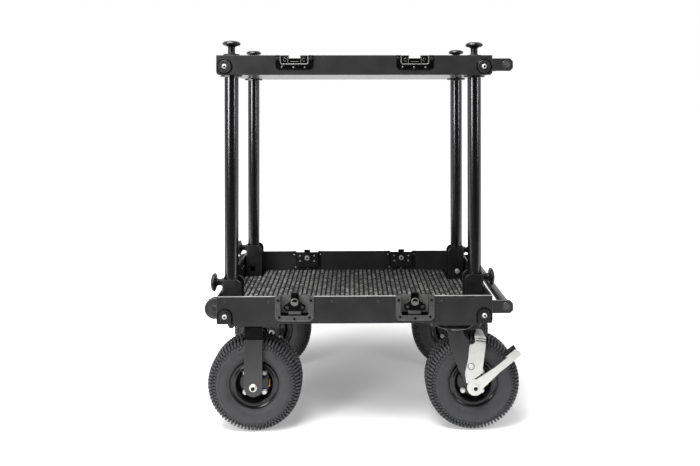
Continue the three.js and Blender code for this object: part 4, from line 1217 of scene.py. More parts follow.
def build_latches():
    (dish, wall, back, lining), wells = dish_shape(), dish_shadow_wells()
    wing, face, hook = wing_shape(), barrel_face_shape(), hook_shape()
    strike = plate([rounded((-17, 17), (-RECESS_DROP, -RECESS_DROP + 10), (1,) * 4)],
                   (RECESS_DEPTH - 3, RECESS_DEPTH + 0.6), 0.5)
    spindle_nut = moved(turned([(4, 0), (8.5, 0), (8.5, 2.2), (7.6, 3), (4, 3)], "y", 32, ring=True),
                        (0, RECESS_DEPTH + PRESSED_SHEET, -WING_DROP - 4))
    screw_spots, back_spots, tail_spots = latch_finish_places()
    screws, pale = [], []
    strikes, nuts, backs, linings, dark = [], [], [], [], []
    for side, x, seat in seats(HALF_DEPTH, TRAY_RIM):
        corner = f"{side}_{'left' if x < 0 else 'right'}"
        outward, inward = (FRONT, BACK) if side == "front" else (BACK, FRONT)
        at_wing = seat @ Matrix.Translation((0, 0, -WING_DROP))
        piece(f"latch_pressing_{corner}", moved(dish, seat), LATCH_COAT, "latch_dish", "tray",
              f"latch_dish_{corner}")
        piece(f"latch_butterfly_{corner}", moved(wing, at_wing), GLOSS_BLACK_AND_SHADE, "black_steel",
              f"latch_wing_{corner}", f"latch_wing_{corner}")
        piece(f"latch_barrel_face_{corner}", moved(face, at_wing), PALE_GREY_AND_HIGHLIGHT, "latch_dish",
              f"latch_wing_{corner}")
        piece(f"latch_draw_hook_{corner}", moved(hook, seat), GLOSS_BLACK_AND_SHADE, "black_steel",
              f"latch_hook_{corner}", f"latch_hook_{corner}")
        strikes.append(moved(strike, seat))
        backs.append(moved(back, seat))
        linings.append(moved(lining, seat))
        dark.append(moved(merged(wall, wells), seat))
        nuts.append(moved(spindle_nut, seat))
        screws += [(seat @ Vector(spot), outward) for spot in screw_spots]
        pale += [(seat @ Vector(spot), inward) for spot in back_spots + tail_spots]
    piece("latch_strikes", merged(*strikes), PALE_METAL_AND_RIM_HIGHLIGHT, "latch_dish", "tray")
    piece("latch_dish_backs", merged(*backs), COATED_STEEL, "latch_dish", "tray")
    piece("latch_dish_linings", merged(*linings), PHOSPHATED, "latch_dish", "tray")
    # Painted shade: the recess walls and the wells are black
    piece("latch_dish_walls", merged(*dark), GLOSS_BLACK_AND_SHADE, "black_steel", "tray")
    piece("latch_spindle_nuts", merged(*nuts), ZINC, "zinc_steel", "tray")
    fasteners("latch_flange_screws", FLANGE_SCREW, screws, GLOSS_BLACK_AND_SHADE, "black_steel", "tray")
    fasteners("latch_inner_rivets", PALE_RIVET, pale, ZINC, "zinc_steel", "tray")


build_latches()


# Push handles and loading rollers

def handle_shape(node):
    """Two flat arms and a round tube between them."""
    low, high = reach(node)
    centre = (low.z + high.z) / 2
    outer = HALF_DEPTH - SEAT_GAP
    arm = softened([(low.x, low.z), (high.x - ARM_CHAMFER, low.z), (high.x, low.z + ARM_CHAMFER),
                    (high.x, high.z - ARM_CHAMFER), (high.x - ARM_CHAMFER, high.z), (low.x, high.z)], 1.5)
    front = plate([arm], (-outer, -outer + ARM_THICKNESS), 0.8)
    tube_end = high.y
    radius = HANDLE_TUBE_RADIUS
    half = [(0, tube_end - 0.5), (radius - 3.4, tube_end - 0.5), (radius - 3, tube_end - 1.2),
            (radius - 2.4, tube_end - 1.2), (radius - 2, tube_end), (radius - 0.5, tube_end),
            (radius, tube_end - 0.5)]
    profile = [(r, -y) for r, y in half] + half[::-1]
    axis = (high.x - HANDLE_TUBE_SETBACK, 0, centre)
    tube = moved(turned(profile, "y", 48), axis)
    plug = turned([(0, -tube_end - 0.1), (radius - 3.6, -tube_end - 0.1), (radius - 3.2, -tube_end + 0.4),
                   (radius - 3.2, -tube_end + 6), (0, -tube_end + 6)], "y", 40)
    lip = turned([(radius - 1.7, -tube_end - 0.2), (radius - 0.4, -tube_end - 0.2),
                  (radius - 0.2, -tube_end + 0.2), (radius - 1.7, -tube_end + 0.2)], "y", 40, ring=True)
    end = moved(merged(plug, lip), axis)
    return both_sides(front), tube, both_sides(end)


def roller_shape():
    """A solid roller with a dished face."""
    radius, half = ROLLER_RADIUS, ROLLER_HALF_WIDTH
    face = [(5.4, half), (9, half), (9.8, half - 1.4), (radius - 6.5, half - 1.4), (radius - 5.6, half),
            (radius - 1.4, half), (radius, half - 1.4)]
    return turned(face + [(r, -y) for r, y in face[::-1]], "y", 48, ring=True)


for deck, body in (("upper", "shelf"), ("lower", "tray")):
    arms, grip, plugs = handle_shape(f"push_handle_{deck}")
    piece(f"push_handle_arms_{deck}", arms, POWDER_COAT, "powder_coat", body, f"push_handle_{deck}")
    piece(f"push_handle_tube_{deck}", grip, ANODISED_GRIP, "anodised_tube", body)
    piece(f"push_handle_plugs_{deck}", plugs, LATCH_COAT, "powder_coat", body)

for side, sign in SIDES:
    seat = (ROLLER_X, sign * ROLLER_ROW, ROLLER_HEIGHT)
    piece(f"loading_roller_tread_{side}", moved(roller_shape(), seat), ROLLER, "roller_rubber",
          f"roller_{side}", f"loading_roller_{side}")


# Wheels, with the axle at the origin

# Half of the casing's section: radius, and distance from the wheel's middle
CASING_HALF = [(52.4, 19.8), (52.4, 27.2), (67.4, 27.4), (68.4, 31), (70, 33.4), (72, 34.2), (73.2, 34.6),
               (75.5, 37), (81, 39.6), (89, 40.9), (96.5, 41), (97.3, 41.7), (99.2, 41.7), (100, 40.8),
               (104, 40), (108, 38), (113.4, 34.2), (118, 29), (121.8, 21), (123.6, 10), (124, 0)]
CASING_AIR = [(115, 12), (105, 28), (86, 31)]


def tread_pitch():
    """One pitch of tread at the top of the wheel: a shoulder lug each side and two middle blocks."""
    outer_section = [(38.4, 115.6), (36.4, 120), (31.4, 126.2), (25.5, 129.5), (13, 130), (13, 121),
                     (28, 108)]
    outer_lug = plate([softened(outer_section, 1, 2)], (-2.7, 2.7), 0.6, "end")
    inner_section = [(41, 105.6), (40.6, 110.4), (38.6, 114), (34, 114), (36, 104)]
    half_pitch = Matrix.Rotation(math.pi / TREAD_PITCHES, 4, "Y")
    inner_lug = moved(plate([softened(inner_section, 0.8, 2)], (-2.4, 2.4), 0.6, "end"), half_pitch)
    lug = merged(outer_lug, inner_lug)
    pieces = [lug, moved(mirrored(lug), half_pitch)]
    for sign in (-1, 1):
        low_block = block((-3.4, 3.4), (-4.6, 4.6), (122, 130), 0.8, 1.2)
        slant = Matrix.Rotation(math.radians(18 * sign), 4, "Z")
        place = moved(low_block, slant, (0, sign * 7, 0))
        pieces.append(moved(place, half_pitch) if sign > 0 else place)
    return merged(*pieces)


def tyre_shape():
    """A ribbed casing with its tread."""
    half = CASING_AIR + CASING_HALF[:-1]
    section = half + [CASING_HALF[-1]] + [(r, -y) for r, y in half[::-1]]
    casing = turned(section, "y", 96, ring=True)
    pitch = shown(tread_pitch())
    mesh = grown(ROUND_WHEEL, casing, Pitch=pitch, Count=TREAD_PITCHES, Finish=TYRE)
    bpy.data.objects.remove(pitch)
    return mesh


def rim_shape():
    """Two pressed bowls round a hub tube: lip, barrel and a raised bolting face."""
    half = [(6.5, 38), (16.2, 38), (17, 37.2), (17, 19.5), (19, 17.6), (40.5, 17), (43, 16), (45.5, 11.5),
            (47.6, 9.5), (49.4, 11), (49.8, 23), (50.4, 27), (51.8, 30), (54, 31.2), (56.2, 30.4),
            (57.6, 29.2), (61.6, 29), (62.8, 30.2), (64.4, 31.2), (65.6, 30.8), (66, 29.6), (65.6, 28.2),
            (55, 28.2), (52.2, 27)]
    return turned(half + [(r, -y) for r, y in half[::-1]], "y", 80, ring=True)


def valve_shape():
    """A brass elbow valve with a ribbed cap, standing on the bolting face at the right of the hub."""
    foot = moved(bar(3.2, (-22, -15), "y", 0.4, 20), (41, 0, -7))
    stem = moved(bar(2.2, (-8, 5), "z", 0.4, 20), (41, -22, 0))
    ribs = []
    for i in range(4):
        ribs += [(3.4, 2.4 + i * 1.9), (3, 3.4 + i * 1.9)]
    cap = moved(turned([(0, 2), (3.4, 2), *ribs, (3.1, 10), (2.4, 10.8), (0, 10.8)], "z", 24), (41, -22, 0))
    elbow = moved(bar(3.3, (-9.6, -4.4), "z", 0.8, 20), (41, -22, 0))
    return merged(foot, stem, cap, elbow)


BOLT_CIRCLE = 37.8
BOLT_FACE = 16.6
wheel_middles = {corner: middle(f"tyre_{corner}") for corner in CORNERS}
tyre_mesh, rim_mesh, valve_mesh = tyre_shape(), rim_shape(), valve_shape()
for corner, centre in wheel_middles.items():
    body = f"wheel_{corner}"
    hub = Matrix.Translation(centre)
    facing = turned_to(centre.y)
    piece(f"tyre_casing_{corner}", moved(tyre_mesh, hub), TYRE, "tyre_rubber", body, f"tyre_{corner}",
          sharp=35)
    piece(f"rim_pressing_{corner}", moved(rim_mesh, hub), ENAMEL, "rim_enamel", body, f"rim_{corner}",
          sharp=50)
    piece(f"valve_{corner}", moved(valve_mesh, facing, hub), BRASS, "zinc_steel", body)
    bolts = []
    for i in range(4):
        turn = math.radians(45 + 90 * i)
        x, z = BOLT_CIRCLE * math.cos(turn), BOLT_CIRCLE * math.sin(turn)
        bolts += [(centre + Vector((x, sign * BOLT_FACE, z)), way) for sign, way in ((-1, FRONT), (1, BACK))]
    fasteners(f"rim_bolts_{corner}", RIM_BOLT, bolts, ZINC, "zinc_steel", body)


# Casters

PLATE_THICKNESS = 6
PLATE_LOW = TRAY_UNDERSIDE - SEAT_GAP - PLATE_THICKNESS
CROWN_TOP = PLATE_LOW - 9.7
PLATE_HALF_LENGTH = 69.5
PLATE_HALF_WIDTH = 52
PLATE_BOLT_X = 60.6
PLATE_BOLT_Y = 43


def top_plate():
    return block((-PLATE_HALF_LENGTH, PLATE_HALF_LENGTH), (-PLATE_HALF_WIDTH, PLATE_HALF_WIDTH),
                 (PLATE_LOW, PLATE_LOW + PLATE_THICKNESS), 0.8, 6)


def rigid_fork_shape():
    """A folded fork: two flat legs, joggled in under a top plate."""
    outer, inner = FORK_HALF_GAP + FORK_SHEET, FORK_HALF_GAP
    shoulder = 2 * WHEEL_RADIUS
    section = [(-outer, 100), (-inner, 100), (-inner, shoulder), (-outer, shoulder)]
    leg = plate([section], (-RIGID_LEG_HALF_WIDTH, RIGID_LEG_HALF_WIDTH), 0.7, "end")
    half = RIGID_LEG_HALF_WIDTH
    waste = []
    for sign in (-1, 1):
        corner = [(sign * x, z) for x, z in arc((0, WHEEL_RADIUS), half, -90, 0, 12)]
        corner += [(sign * (half + 4), WHEEL_RADIUS), (sign * (half + 4), 95), (0, 95)]
        waste.append(plate([corner], (-outer - 4, -inner + 8), 0.05))
    leg = carved(leg, *waste)
    saddle = block((-47, 47), (-outer + RIGID_JOGGLE, outer - RIGID_JOGGLE),
                   (PLATE_LOW - 4.5, PLATE_LOW + 0.2), 0.8, 5)
    neck = plate([rounded((-half, half), (shoulder - 5, PLATE_LOW + 0.5), (0,) * 4)],
                 (-outer + RIGID_JOGGLE, -inner + RIGID_JOGGLE), 0.5)
    return merged(top_plate(), saddle, leg, mirrored(leg)), both_sides(neck)


def axle_shape(front_face, back_face):
    """A plated axle bolt with washers and a nut, its front head at -Y, and its two ends, black as painted
    shade at the bolt's centre.
    """
    shank = bar(AXLE_RADIUS, (-front_face, back_face), "y")
    washer = bar(10.8, (-front_face - 1.6, -front_face), "y", 0.5, 40)
    far_washer = bar(10.8, (back_face, back_face + 1.6), "y", 0.5, 40)
    head = hexagon(18.4, (-front_face - 6.4, -front_face - 1.4), "y", 1.2)
    nut = hexagon(18.4, (back_face + 1.4, back_face + 6.4), "y", 1.2)
    tips = [bar(5.4, (-front_face - 7.6, -front_face - 6), "y", 0.8, 24),
            bar(5.4, (back_face + 6, back_face + 7.6), "y", 0.8, 24)]
    return merged(shank, washer, far_washer, head, nut), merged(*tips)


def plate_bolt_places(centre):
    return [(Vector((centre.x + sx * PLATE_BOLT_X, centre.y + sy * PLATE_BOLT_Y, PLATE_LOW)), DOWN)
            for sx in (-1, 1) for sy in (-1, 1)]


fork_outer = FORK_HALF_GAP + FORK_SHEET + SEAT_GAP
rigid_fork, rigid_shaded_neck = rigid_fork_shape()
rigid_axle, rigid_tip_shade = axle_shape(fork_outer, fork_outer)
plate_bolts = []
for side, sign in SIDES:
    centre = wheel_middles[f"{side}_left"]
    facing = turned_to(sign)
    foot = Matrix.Translation((centre.x, centre.y, 0)) @ facing
    piece(f"rigid_fork_pressing_{side}", moved(rigid_fork, foot), POWDER_COAT, "powder_coat", "tray",
          f"rigid_fork_{side}")
    # Painted shade: the necks above the joggle are black, for the shade under the tray
    piece(f"rigid_fork_necks_{side}", moved(rigid_shaded_neck, foot), GLOSS_BLACK_AND_SHADE, "black_steel", "tray")
    piece(f"axle_bolt_{side}_left", moved(rigid_axle, facing, centre), ZINC, "zinc_steel", "tray",
          f"axle_{side}_left")
    piece(f"axle_tips_{side}_left", moved(rigid_tip_shade, facing, centre), GLOSS_BLACK_AND_SHADE, "black_steel", "tray")
    plate_bolts += plate_bolt_places(centre)


def swivel_plate_shape():
    """The fixed plate with its raceway."""
    race = turned([(0, PLATE_LOW - 9.4), (44.2, PLATE_LOW - 9.4), (45, PLATE_LOW - 8.6),
                   (45, PLATE_LOW - 4.5), (47, PLATE_LOW - 2), (48.5, PLATE_LOW + 0.2),
                   (0, PLATE_LOW + 0.2)], "z", 64)
    return merged(top_plate(), race)


def kingpin_shape():
    """The kingpin and its nut under the crown."""
    pin = bar(8, (PLATE_LOW - 26, PLATE_LOW - 4), "z")
    nut = hexagon(27, (PLATE_LOW - 25, PLATE_LOW - 16), "z", 1)
    return merged(pin, nut)


def swivel_leg_outline(trail):
    """The raked leg from the side: a tapering arm with a round boss at the axle."""
    boss = arc((trail, WHEEL_RADIUS), 22, 180, 379, 16)
    rise = CROWN_TOP - WHEEL_RADIUS
    forward = [(-0.52, 1), (-0.52, 0.96), (-0.13, 0.5), (0.21, 0.22)]
    rearward = [(0.71, 0.75), (0.36, 0.94), (0.36, 1)]
    edge = [(x * trail, WHEEL_RADIUS + z * rise) for x, z in forward]
    back = [(x * trail, WHEEL_RADIUS + z * rise) for x, z in rearward]
    return softened(edge, 9, 4)[3:] + boss + softened(back, 9, 4)[:-3]


CROWN_LIP_RADIUS = 53.4
RACE_RADIUS = 46.4
RACE_DROP = 6.6
BALLS_IN_RACE = 40


def crown_lip_highlight_shape():
    """A painted highlight: a pale ring on the lip round the crown, the kingpin at the origin."""
    height = CROWN_TOP - 3
    return rod([(x, y, height) for x, y in circle((0, 0), CROWN_LIP_RADIUS, 64)], 0.8, closed_path=True)


def swivel_fork_shape(trail):
    """A pressed fork: flared crown, bridge and two raked legs, the kingpin at the origin."""
    outer, inner = FORK_HALF_GAP + FORK_SHEET, FORK_HALF_GAP
    leg = plate([swivel_leg_outline(trail)], (-outer, -inner), 0.9)
    dish = [(9, CROWN_TOP - 6), (23, CROWN_TOP - 7), (40, CROWN_TOP - 6), (49, CROWN_TOP - 4.6),
            (52.6, CROWN_TOP - 4), (CROWN_LIP_RADIUS, CROWN_TOP - 3), (52.6, CROWN_TOP - 2),
            (47.4, CROWN_TOP + 0.6), (46, CROWN_TOP), (9, CROWN_TOP)]
    crown = turned(dish, "z", 64, ring=True)
    bridge = block((-26, 18), (-outer, outer), (CROWN_TOP - 6, CROWN_TOP - 0.1), 0.9, 4)
    kingpin_hole = bar(14.5, (CROWN_TOP - 12, CROWN_TOP + 6), "z")
    bridge = carved(bridge, kingpin_hole)
    lips = []
    for x_edge in (-26, 18):
        lips.append(rod([(x_edge, y, CROWN_TOP - 5.2) for y in (-outer + 4, outer - 4)], 1.6))
    return merged(leg, mirrored(leg), crown, bridge, *lips)


def race_balls():
    """Places of the bearing balls that show between the crown and the plate."""
    turns = [2 * math.pi * i / BALLS_IN_RACE for i in range(BALLS_IN_RACE)]
    return [(Vector((RACE_RADIUS * math.cos(t), RACE_RADIUS * math.sin(t), PLATE_LOW - RACE_DROP)), UP)
            for t in turns]


# Brake: places from the axle, seen from the braked side

BRAKE_INNER = FORK_HALF_GAP + FORK_SHEET + RUNNING_GAP
BRAKE_OUTER = BRAKE_INNER + 4
LEVER_INNER = BRAKE_OUTER + RUNNING_GAP
LEVER_OUTER = LEVER_INNER + 4
SHOE_INNER_RADIUS = WHEEL_RADIUS + 2.5
SHOE_OUTER_RADIUS = SHOE_INNER_RADIUS + 3.5
SHOE_START, SHOE_END = 89.3, 76.5
SHOE_REACH = 66
LEVER_RAISE = math.radians(38)


def swept(section, start, end, steps=12):
    """A closed (radius, y) section carried round the Y axis between two angles in degrees."""
    points = [(radius * x, y, radius * z) for x, z in arc((0, 0), 1, start, end, steps)
              for radius, y in section]
    count = len(section)
    faces = [list(range(count)), [steps * count + i for i in range(count)]]
    for step in range(steps):
        for i in range(count):
            j = (i + 1) % count
            faces.append([step * count + i, step * count + j,
                          (step + 1) * count + j, (step + 1) * count + i])
    return shape_of(points, faces)


def shoe_section():
    """The shoe from the side plate's top: two ribs, a bend, and the flat over the tyre."""
    outer, tip = BRAKE_OUTER, BRAKE_OUTER - SHOE_REACH
    face = [(122, 0), (124.6, 0), (125.4, 1), (126.8, 1), (127.6, -0.2), (128.4, 0.5), (129.6, 0.3),
            (130.4, -1.4), (132.6, -3.6), (134.6, -7), (SHOE_OUTER_RADIUS - 0.3, -11),
            (SHOE_OUTER_RADIUS, -15)]
    back = [(SHOE_INNER_RADIUS, -14), (131.4, -9.5), (128.6, -5.6), (125.5, -4), (122, -4)]
    return ([(radius, outer + y) for radius, y in face] + [(SHOE_OUTER_RADIUS, tip), (SHOE_INNER_RADIUS, tip)]
            + [(radius, outer + y) for radius, y in back])


def brake_plate_shape(out):
    """The side plate and the bent shoe that reaches over the tyre, its inner corner cut away."""
    radius = WHEEL_RADIUS
    shares = [(-0.208, 0.277), (-0.177, 0.058), (0.04, 0.2), (0.154, 0.285), (0.238, 0.93),
              (0.012, 0.955), (-0.015, 0.892), (-0.108, 0.892), (-0.138, 0.585)]
    outline = softened([(x * radius, z * radius) for x, z in shares], 6, 3)
    side = plate([outline], (BRAKE_INNER, BRAKE_OUTER), 0.8)
    tip = BRAKE_OUTER - SHOE_REACH
    waste = [(-6, BRAKE_OUTER - 12), (-6, tip - 5), (16, tip - 5), (16, tip + 8), (1, BRAKE_OUTER - 12)]
    corner = plate([waste], (radius - 20, radius + 20), 0.1, "flat")
    whole = merged(side, carved(swept(shoe_section(), SHOE_START, SHOE_END), corner))
    return whole if out > 0 else mirrored(whole)


def shoe_groove_shade(out):
    """Painted shade: two black lines in the grooves along the bend between the side plate and the shoe."""
    lines = ((127, BRAKE_OUTER + 0.6), (132.6, BRAKE_OUTER - 2.8))
    sweep = (SHOE_START - 0.5, SHOE_END + 0.5)
    return merged(*(rod([(x, out * y, z) for x, z in arc((0, 0), radius, *sweep, 8)], 1.1)
                    for radius, y in lines))


def brake_lever_shape(out):
    """A tapering lever along +X from its boss, with an upturned tread plate."""
    span = sorted((out * LEVER_INNER, out * LEVER_OUTER))
    arm = [*arc((0, 0), 22, 42, 318, 20), (78, -9), *arc((148, 0), 9, -90, 90, 8), (78, 9)]
    hole = circle((0, 0), 6.6, 24)
    web = plate([rounded((PEDAL_START + 3, PEDAL_END - 3), (8, PEDAL_RISE + 1), (0,) * 4)],
                sorted((out * (LEVER_OUTER - 1.2), out * LEVER_INNER)), 0.4)
    return merged(plate([arm, hole], span, 0.8), web, pedal_plate(out))


PEDAL_START, PEDAL_END = 117, 154
PEDAL_RISE = 11.5
PEDAL_INNER = 42


def pedal_plate(out):
    across = sorted((out * LEVER_OUTER, out * PEDAL_INNER))
    return plate([rounded((PEDAL_START, PEDAL_END), across, (2,) * 4)], (PEDAL_RISE, PEDAL_RISE + 3), 0.7,
                 "flat")


def pedal_pad(out):
    """The rubber pad on the tread plate, ribbed along the lever."""
    low, high = PEDAL_RISE + 3, PEDAL_RISE + 8
    ribs = 4
    width = (LEVER_OUTER - PEDAL_INNER - 1) / ribs
    section = [(PEDAL_INNER + 0.5, low)]
    for i in range(ribs):
        left = PEDAL_INNER + 0.5 + i * width
        section += [(left, high - 0.8), (left + 0.6, high), (left + width - 1.4, high),
                    (left + width - 0.8, high - 0.8)]
        if i < ribs - 1:
            section.append((left + width - 0.4, high - 1.8))
    section.append((LEVER_OUTER - 0.5, low))
    pad = plate([section], (PEDAL_START + 0.5, PEDAL_END - 0.5), 0.4, "end")
    return pad if out > 0 else mirrored(pad)


swivel_top = swivel_plate_shape()
kingpin = kingpin_shape()
balls = lump(2, 1.9)
lever_face = LEVER_OUTER + SEAT_GAP
swivel_axle, swivel_tip_shade = axle_shape(lever_face, fork_outer)
# Painted shade: a thin black ring behind the brake pivot bolt, for the shadow line round it
pivot_shade_ring = turned([(7.9, 0), (9.5, 0), (9.5, 0.5), (7.9, 0.5)], ring=True)
for side, sign in SIDES:
    hub = wheel_middles[f"{side}_right"]
    turntable = middle(f"swivel_plate_{side}")
    foot = (turntable.x, turntable.y, 0)
    trail = hub.x - turntable.x
    facing = turned_to(sign)
    piece(f"swivel_top_plate_{side}", moved(swivel_top, foot), POWDER_COAT, "powder_coat", "tray",
          f"swivel_plate_{side}")
    piece(f"swivel_kingpin_{side}", moved(kingpin, foot), ZINC, "zinc_steel", "tray")
    piece(f"swivel_fork_pressing_{side}", moved(swivel_fork_shape(trail), foot), POWDER_COAT,
          "powder_coat", f"swivel_{side}", f"swivel_fork_{side}")
    piece(f"swivel_crown_lip_{side}", moved(crown_lip_highlight_shape(), foot), PALE_GREY_AND_HIGHLIGHT, "powder_coat", f"swivel_{side}")
    # Painted shade: the steel bearing balls are black so the gap under the crown stays dark
    fasteners(f"swivel_race_balls_{side}", balls, [(place + Vector(foot), way) for place, way in
                                                  race_balls()], GLOSS_BLACK_AND_SHADE, "black_steel", f"swivel_{side}")
    piece(f"axle_bolt_{side}_right", moved(swivel_axle, facing, hub), ZINC, "zinc_steel",
          f"swivel_{side}", f"axle_{side}_right")
    piece(f"axle_tips_{side}_right", moved(swivel_tip_shade, facing, hub), GLOSS_BLACK_AND_SHADE, "black_steel", f"swivel_{side}")
    piece(f"brake_shoe_plate_{side}", moved(brake_plate_shape(sign), hub), ZINC, "zinc_steel",
          f"brake_plate_{side}", f"brake_plate_{side}")
    piece(f"brake_shoe_grooves_{side}", moved(shoe_groove_shade(sign), hub), GLOSS_BLACK_AND_SHADE, "black_steel",
          f"brake_plate_{side}")
    raised = Matrix.Rotation(-LEVER_RAISE, 4, "Y")
    piece(f"brake_lever_arm_{side}", moved(brake_lever_shape(sign), raised, hub), ZINC, "zinc_steel",
          f"brake_lever_{side}", f"brake_lever_{side}")
    piece(f"brake_pedal_pad_{side}", moved(pedal_pad(sign), raised, hub), MOULDED, "roller_rubber",
          f"brake_lever_{side}")
    pivot = [(hub + Vector((-10.3, sign * BRAKE_OUTER, 56.4)), outward(sign))]
    fasteners(f"brake_pivot_bolt_{side}", hex_bolt(12.4, 3.2, 7.8), pivot, ZINC, "zinc_steel",
              f"brake_plate_{side}")
    fasteners(f"brake_pivot_ring_{side}", pivot_shade_ring, pivot, GLOSS_BLACK_AND_SHADE, "black_steel", f"brake_plate_{side}")
    plate_bolts += plate_bolt_places(turntable)
fasteners("caster_plate_bolts", PLATE_BOLT, plate_bolts, COATED_STEEL, "black_steel", "tray")


# Small fasteners of the decks

RIVET_XS = (-354.5, -234.7, -61.8, 63.7, 237.7)
RIVET_HEIGHT = TRAY_RIM - 15.4
END_RIVET_YS = (130, 156)
END_RIVET_HEIGHT = 351


def build_deck_fasteners():
    boss_face = HALF_DEPTH + BOSS_THICKNESS
    for body, height in (("tray", TRAY_BOSS_HEIGHT), ("shelf", SHELF_BOSS_HEIGHT)):
        places = [(Vector((x, sign * boss_face, height)), outward(sign))
                  for x in BOSS_XS for sign in (-1, 1)]
        fasteners(f"{body}_corner_screws", BUTTON_SCREW, places, ZINC, "zinc_steel", body)
        fasteners(f"{body}_screw_sockets", SOCKET_SHADE, places, GLOSS_BLACK_AND_SHADE, "black_steel", body)
    rivets = [(Vector((x, sign * HALF_DEPTH, RIVET_HEIGHT)), outward(sign))
              for x in RIVET_XS for sign in (-1, 1)]
    fasteners("tray_panel_rivets", RIVET, rivets, POWDER_COAT, "powder_coat", "tray")
    inner_x = -HALF_LENGTH + DECK_WALL
    roller_rivets = [(Vector((inner_x, sign * y, END_RIVET_HEIGHT)), RIGHT) for y in END_RIVET_YS
                     for sign in (-1, 1)]
    fasteners("tray_end_rivets", PALE_RIVET, roller_rivets, ZINC, "zinc_steel", "tray")
    spots = [(x, -CATCH_THICKNESS, z) for x, z in ((-34, -33), (-2.2, -33.6), (29, -33.6))]
    side_spots = [(x, -CATCH_THICKNESS, -9.5) for x in (-46, 46)]
    low_screws, side_screws = [], []
    for side, _, seat in seats(HALF_DEPTH, SHELF_RIM):
        way = FRONT if side == "front" else BACK
        low_screws += [(seat @ Vector(spot), way) for spot in spots]
        side_screws += [(seat @ Vector(spot), way) for spot in side_spots]
    fasteners("catch_lower_screws", SMALL_BUTTON_SCREW, low_screws, PALE_GREY_AND_HIGHLIGHT, "zinc_steel", "shelf")
    fasteners("catch_side_screws", SLOTTED_SCREW, side_screws, COATED_STEEL, "black_steel", "shelf")


build_deck_fasteners()


# Camera, floor and light

CAMERA_PLACE = Vector((-7.8, -1961.4, 928.4))
CAMERA_YAW = 0.0138
CAMERA_ROLL = 0.0009
PICTURE_WIDTH, PICTURE_HEIGHT = 700, 466
FOCAL_PIXELS = 625.9
PRINCIPAL_X, PRINCIPAL_Y = 360.5, 95.2
SENSOR_WIDTH = 36

# Studio, in metres: the floor's glow fades from near the cart to full white far from it
FLOOR_REACH = 30
FADE_START, FADE_END = 0.28, 0.8
NEAR_GLOW = 0.28
SHEET_FRONT, SHEET_FADE = -1.0, 0.5
SHEET_WHITE = 0.84
DARK_ROOM = 0.04
ROOM_LIGHT = 0.16
FAR_CLIP = 50
LAMP_AIM_HEIGHT = 0.55


def build_camera():
    data = bpy.data.cameras.new("camera")
    data.sensor_width = SENSOR_WIDTH
    data.lens = FOCAL_PIXELS * SENSOR_WIDTH / PICTURE_WIDTH
    data.shift_x = (PICTURE_WIDTH / 2 - PRINCIPAL_X) / PICTURE_WIDTH
    data.shift_y = (PRINCIPAL_Y - PICTURE_HEIGHT / 2) / PICTURE_WIDTH
    data.clip_end = FAR_CLIP
    camera = bpy.data.objects.new("camera", data)
    bpy.context.scene.collection.objects.link(camera)
    camera.location = (CAMERA_PLACE + DECK_MIDDLE) * MM
    level = Matrix.Rotation(-CAMERA_YAW, 4, "Z") @ Matrix.Rotation(math.pi / 2, 4, "X")
    camera.rotation_euler = (level @ Matrix.Rotation(-CAMERA_ROLL, 4, "Z")).to_euler()
    bpy.context.scene.camera = camera


def build_floor():
    """A white floor that keeps the cart's shadow and fades into the white behind it."""
    finish, tree = blank_finish("white_studio_floor")
    place = add_node(tree, "ShaderNodeTexCoord")
    distance = add_node(tree, "ShaderNodeVectorMath", {"operation": "LENGTH"},
                        links={0: place.outputs["Object"]})
    fade = add_node(tree, "ShaderNodeMapRange", {"interpolation_type": "SMOOTHSTEP"},
                    inputs={"From Min": FADE_START, "From Max": FADE_END, "To Min": NEAR_GLOW, "To Max": 1},
                    links={"Value": distance.outputs["Value"]})
    across = add_node(tree, "ShaderNodeSeparateXYZ", links={"Vector": place.outputs["Object"]})
    sheet = add_node(tree, "ShaderNodeMapRange", {"interpolation_type": "SMOOTHSTEP"},
                     inputs={"From Min": SHEET_FRONT, "From Max": SHEET_FRONT + SHEET_FADE,
                             "To Min": DARK_ROOM, "To Max": SHEET_WHITE},
                     links={"Value": across.outputs["Y"]})
    path = add_node(tree, "ShaderNodeLightPath")
    mirrored_in = add_node(tree, "ShaderNodeMath", {"operation": "MULTIPLY"},
                           links={0: path.outputs["Is Glossy Ray"], 1: sheet.outputs["Result"]})
    seen = add_node(tree, "ShaderNodeMath", {"operation": "MAXIMUM"},
                    links={0: path.outputs["Is Camera Ray"], 1: mirrored_in.outputs["Value"]})
    strength = add_node(tree, "ShaderNodeMath", {"operation": "MULTIPLY"},
                        links={0: fade.outputs["Result"], 1: seen.outputs["Value"]})
    paint = add_node(tree, "ShaderNodeBsdfDiffuse", links={"Color": sheet.outputs["Result"]})
    glow = add_node(tree, "ShaderNodeEmission", inputs={"Color": (1, 1, 1, 1)},
                    links={"Strength": strength.outputs["Value"]})
    both = add_node(tree, "ShaderNodeAddShader",
                    links={0: paint.outputs["BSDF"], 1: glow.outputs["Emission"]})
    add_node(tree, "ShaderNodeOutputMaterial", links={"Surface": both.outputs["Shader"]})
    mesh = bpy.data.meshes.new("studio_floor")
    mesh.from_pydata([(-FLOOR_REACH, -FLOOR_REACH, 0), (FLOOR_REACH, -FLOOR_REACH, 0),
                      (FLOOR_REACH, FLOOR_REACH, 0), (-FLOOR_REACH, FLOOR_REACH, 0)], [], [(0, 1, 2, 3)])
    mesh.materials.append(finish)
    floor = bpy.data.objects.new("studio_floor", mesh)
    bpy.context.scene.collection.objects.link(floor)


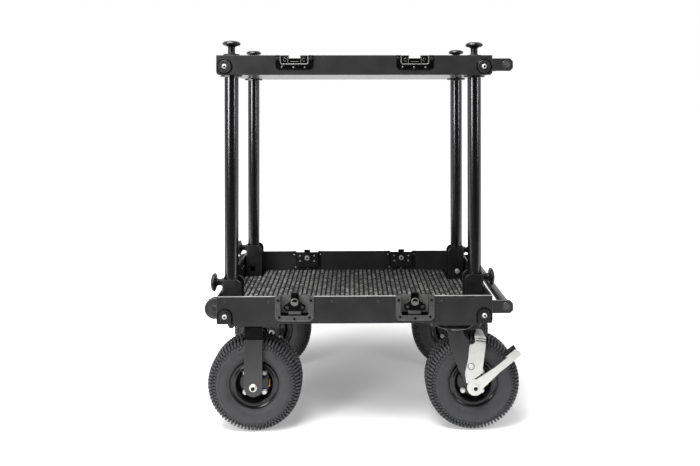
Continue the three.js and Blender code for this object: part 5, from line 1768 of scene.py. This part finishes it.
def build_world():
    """A studio that is pale behind and beside the cart and dark behind the camera; the camera sees white."""
    world = bpy.data.worlds.new("studio")
    world.use_nodes = True
    tree = world.node_tree
    tree.nodes.clear()
    way = add_node(tree, "ShaderNodeTexCoord")
    depth = add_node(tree, "ShaderNodeSeparateXYZ", links={"Vector": way.outputs["Generated"]})
    pale = add_node(tree, "ShaderNodeMapRange", {"interpolation_type": "SMOOTHSTEP"},
                    inputs={"From Min": -0.7, "From Max": 0.6, "To Min": DARK_ROOM, "To Max": 1},
                    links={"Value": depth.outputs["Y"]})
    dim = add_node(tree, "ShaderNodeMath", {"operation": "MULTIPLY"}, inputs={1: ROOM_LIGHT},
                   links={0: pale.outputs["Result"]})
    path = add_node(tree, "ShaderNodeLightPath")
    mirrored_in = add_node(tree, "ShaderNodeMath", {"operation": "MAXIMUM"},
                           links={0: path.outputs["Is Glossy Ray"], 1: path.outputs["Is Transmission Ray"]})
    room = add_node(tree, "ShaderNodeBackground", inputs={"Color": (1, 1, 1, 1)},
                    links={"Strength": dim.outputs["Value"]})
    backdrop = add_node(tree, "ShaderNodeBackground", inputs={"Color": (1, 1, 1, 1)},
                        links={"Strength": pale.outputs["Result"]})
    white = add_node(tree, "ShaderNodeBackground", inputs={"Color": (1, 1, 1, 1), "Strength": 1})
    lit = add_node(tree, "ShaderNodeMixShader", links={0: mirrored_in.outputs["Value"], 1: room.outputs[0],
                                                       2: backdrop.outputs[0]})
    mix = add_node(tree, "ShaderNodeMixShader", links={0: path.outputs["Is Camera Ray"], 1: lit.outputs[0],
                                                       2: white.outputs[0]})
    add_node(tree, "ShaderNodeOutputWorld", links={"Surface": mix.outputs["Shader"]})
    bpy.context.scene.world = world


def softbox(name, azimuth, distance, height, width, tall, radiance):
    """A soft box round the cart: its azimuth is in degrees from the front, towards the handles."""
    data = bpy.data.lights.new(name, "AREA")
    data.shape = "RECTANGLE"
    data.size = width
    data.size_y = tall
    data.energy = radiance * math.pi * width * tall
    lamp = bpy.data.objects.new(name, data)
    bpy.context.scene.collection.objects.link(lamp)
    turn = math.radians(azimuth)
    lamp.location = (distance * math.sin(turn), -distance * math.cos(turn), height)
    aim = Vector((0, 0, LAMP_AIM_HEIGHT)) - lamp.location
    lamp.rotation_euler = aim.to_track_quat("-Z", "Y").to_euler()


build_camera()
build_floor()
build_world()
softbox("left_strip", -43, 2.6, 1.5, 0.7, 1.8, 10)
softbox("right_strip", 54, 2.6, 1.5, 0.34, 1.8, 7)
softbox("overhead", -38, 1.2, 3.0, 2.0, 1.3, 17)
bpy.context.scene.view_settings.view_transform = "Standard"
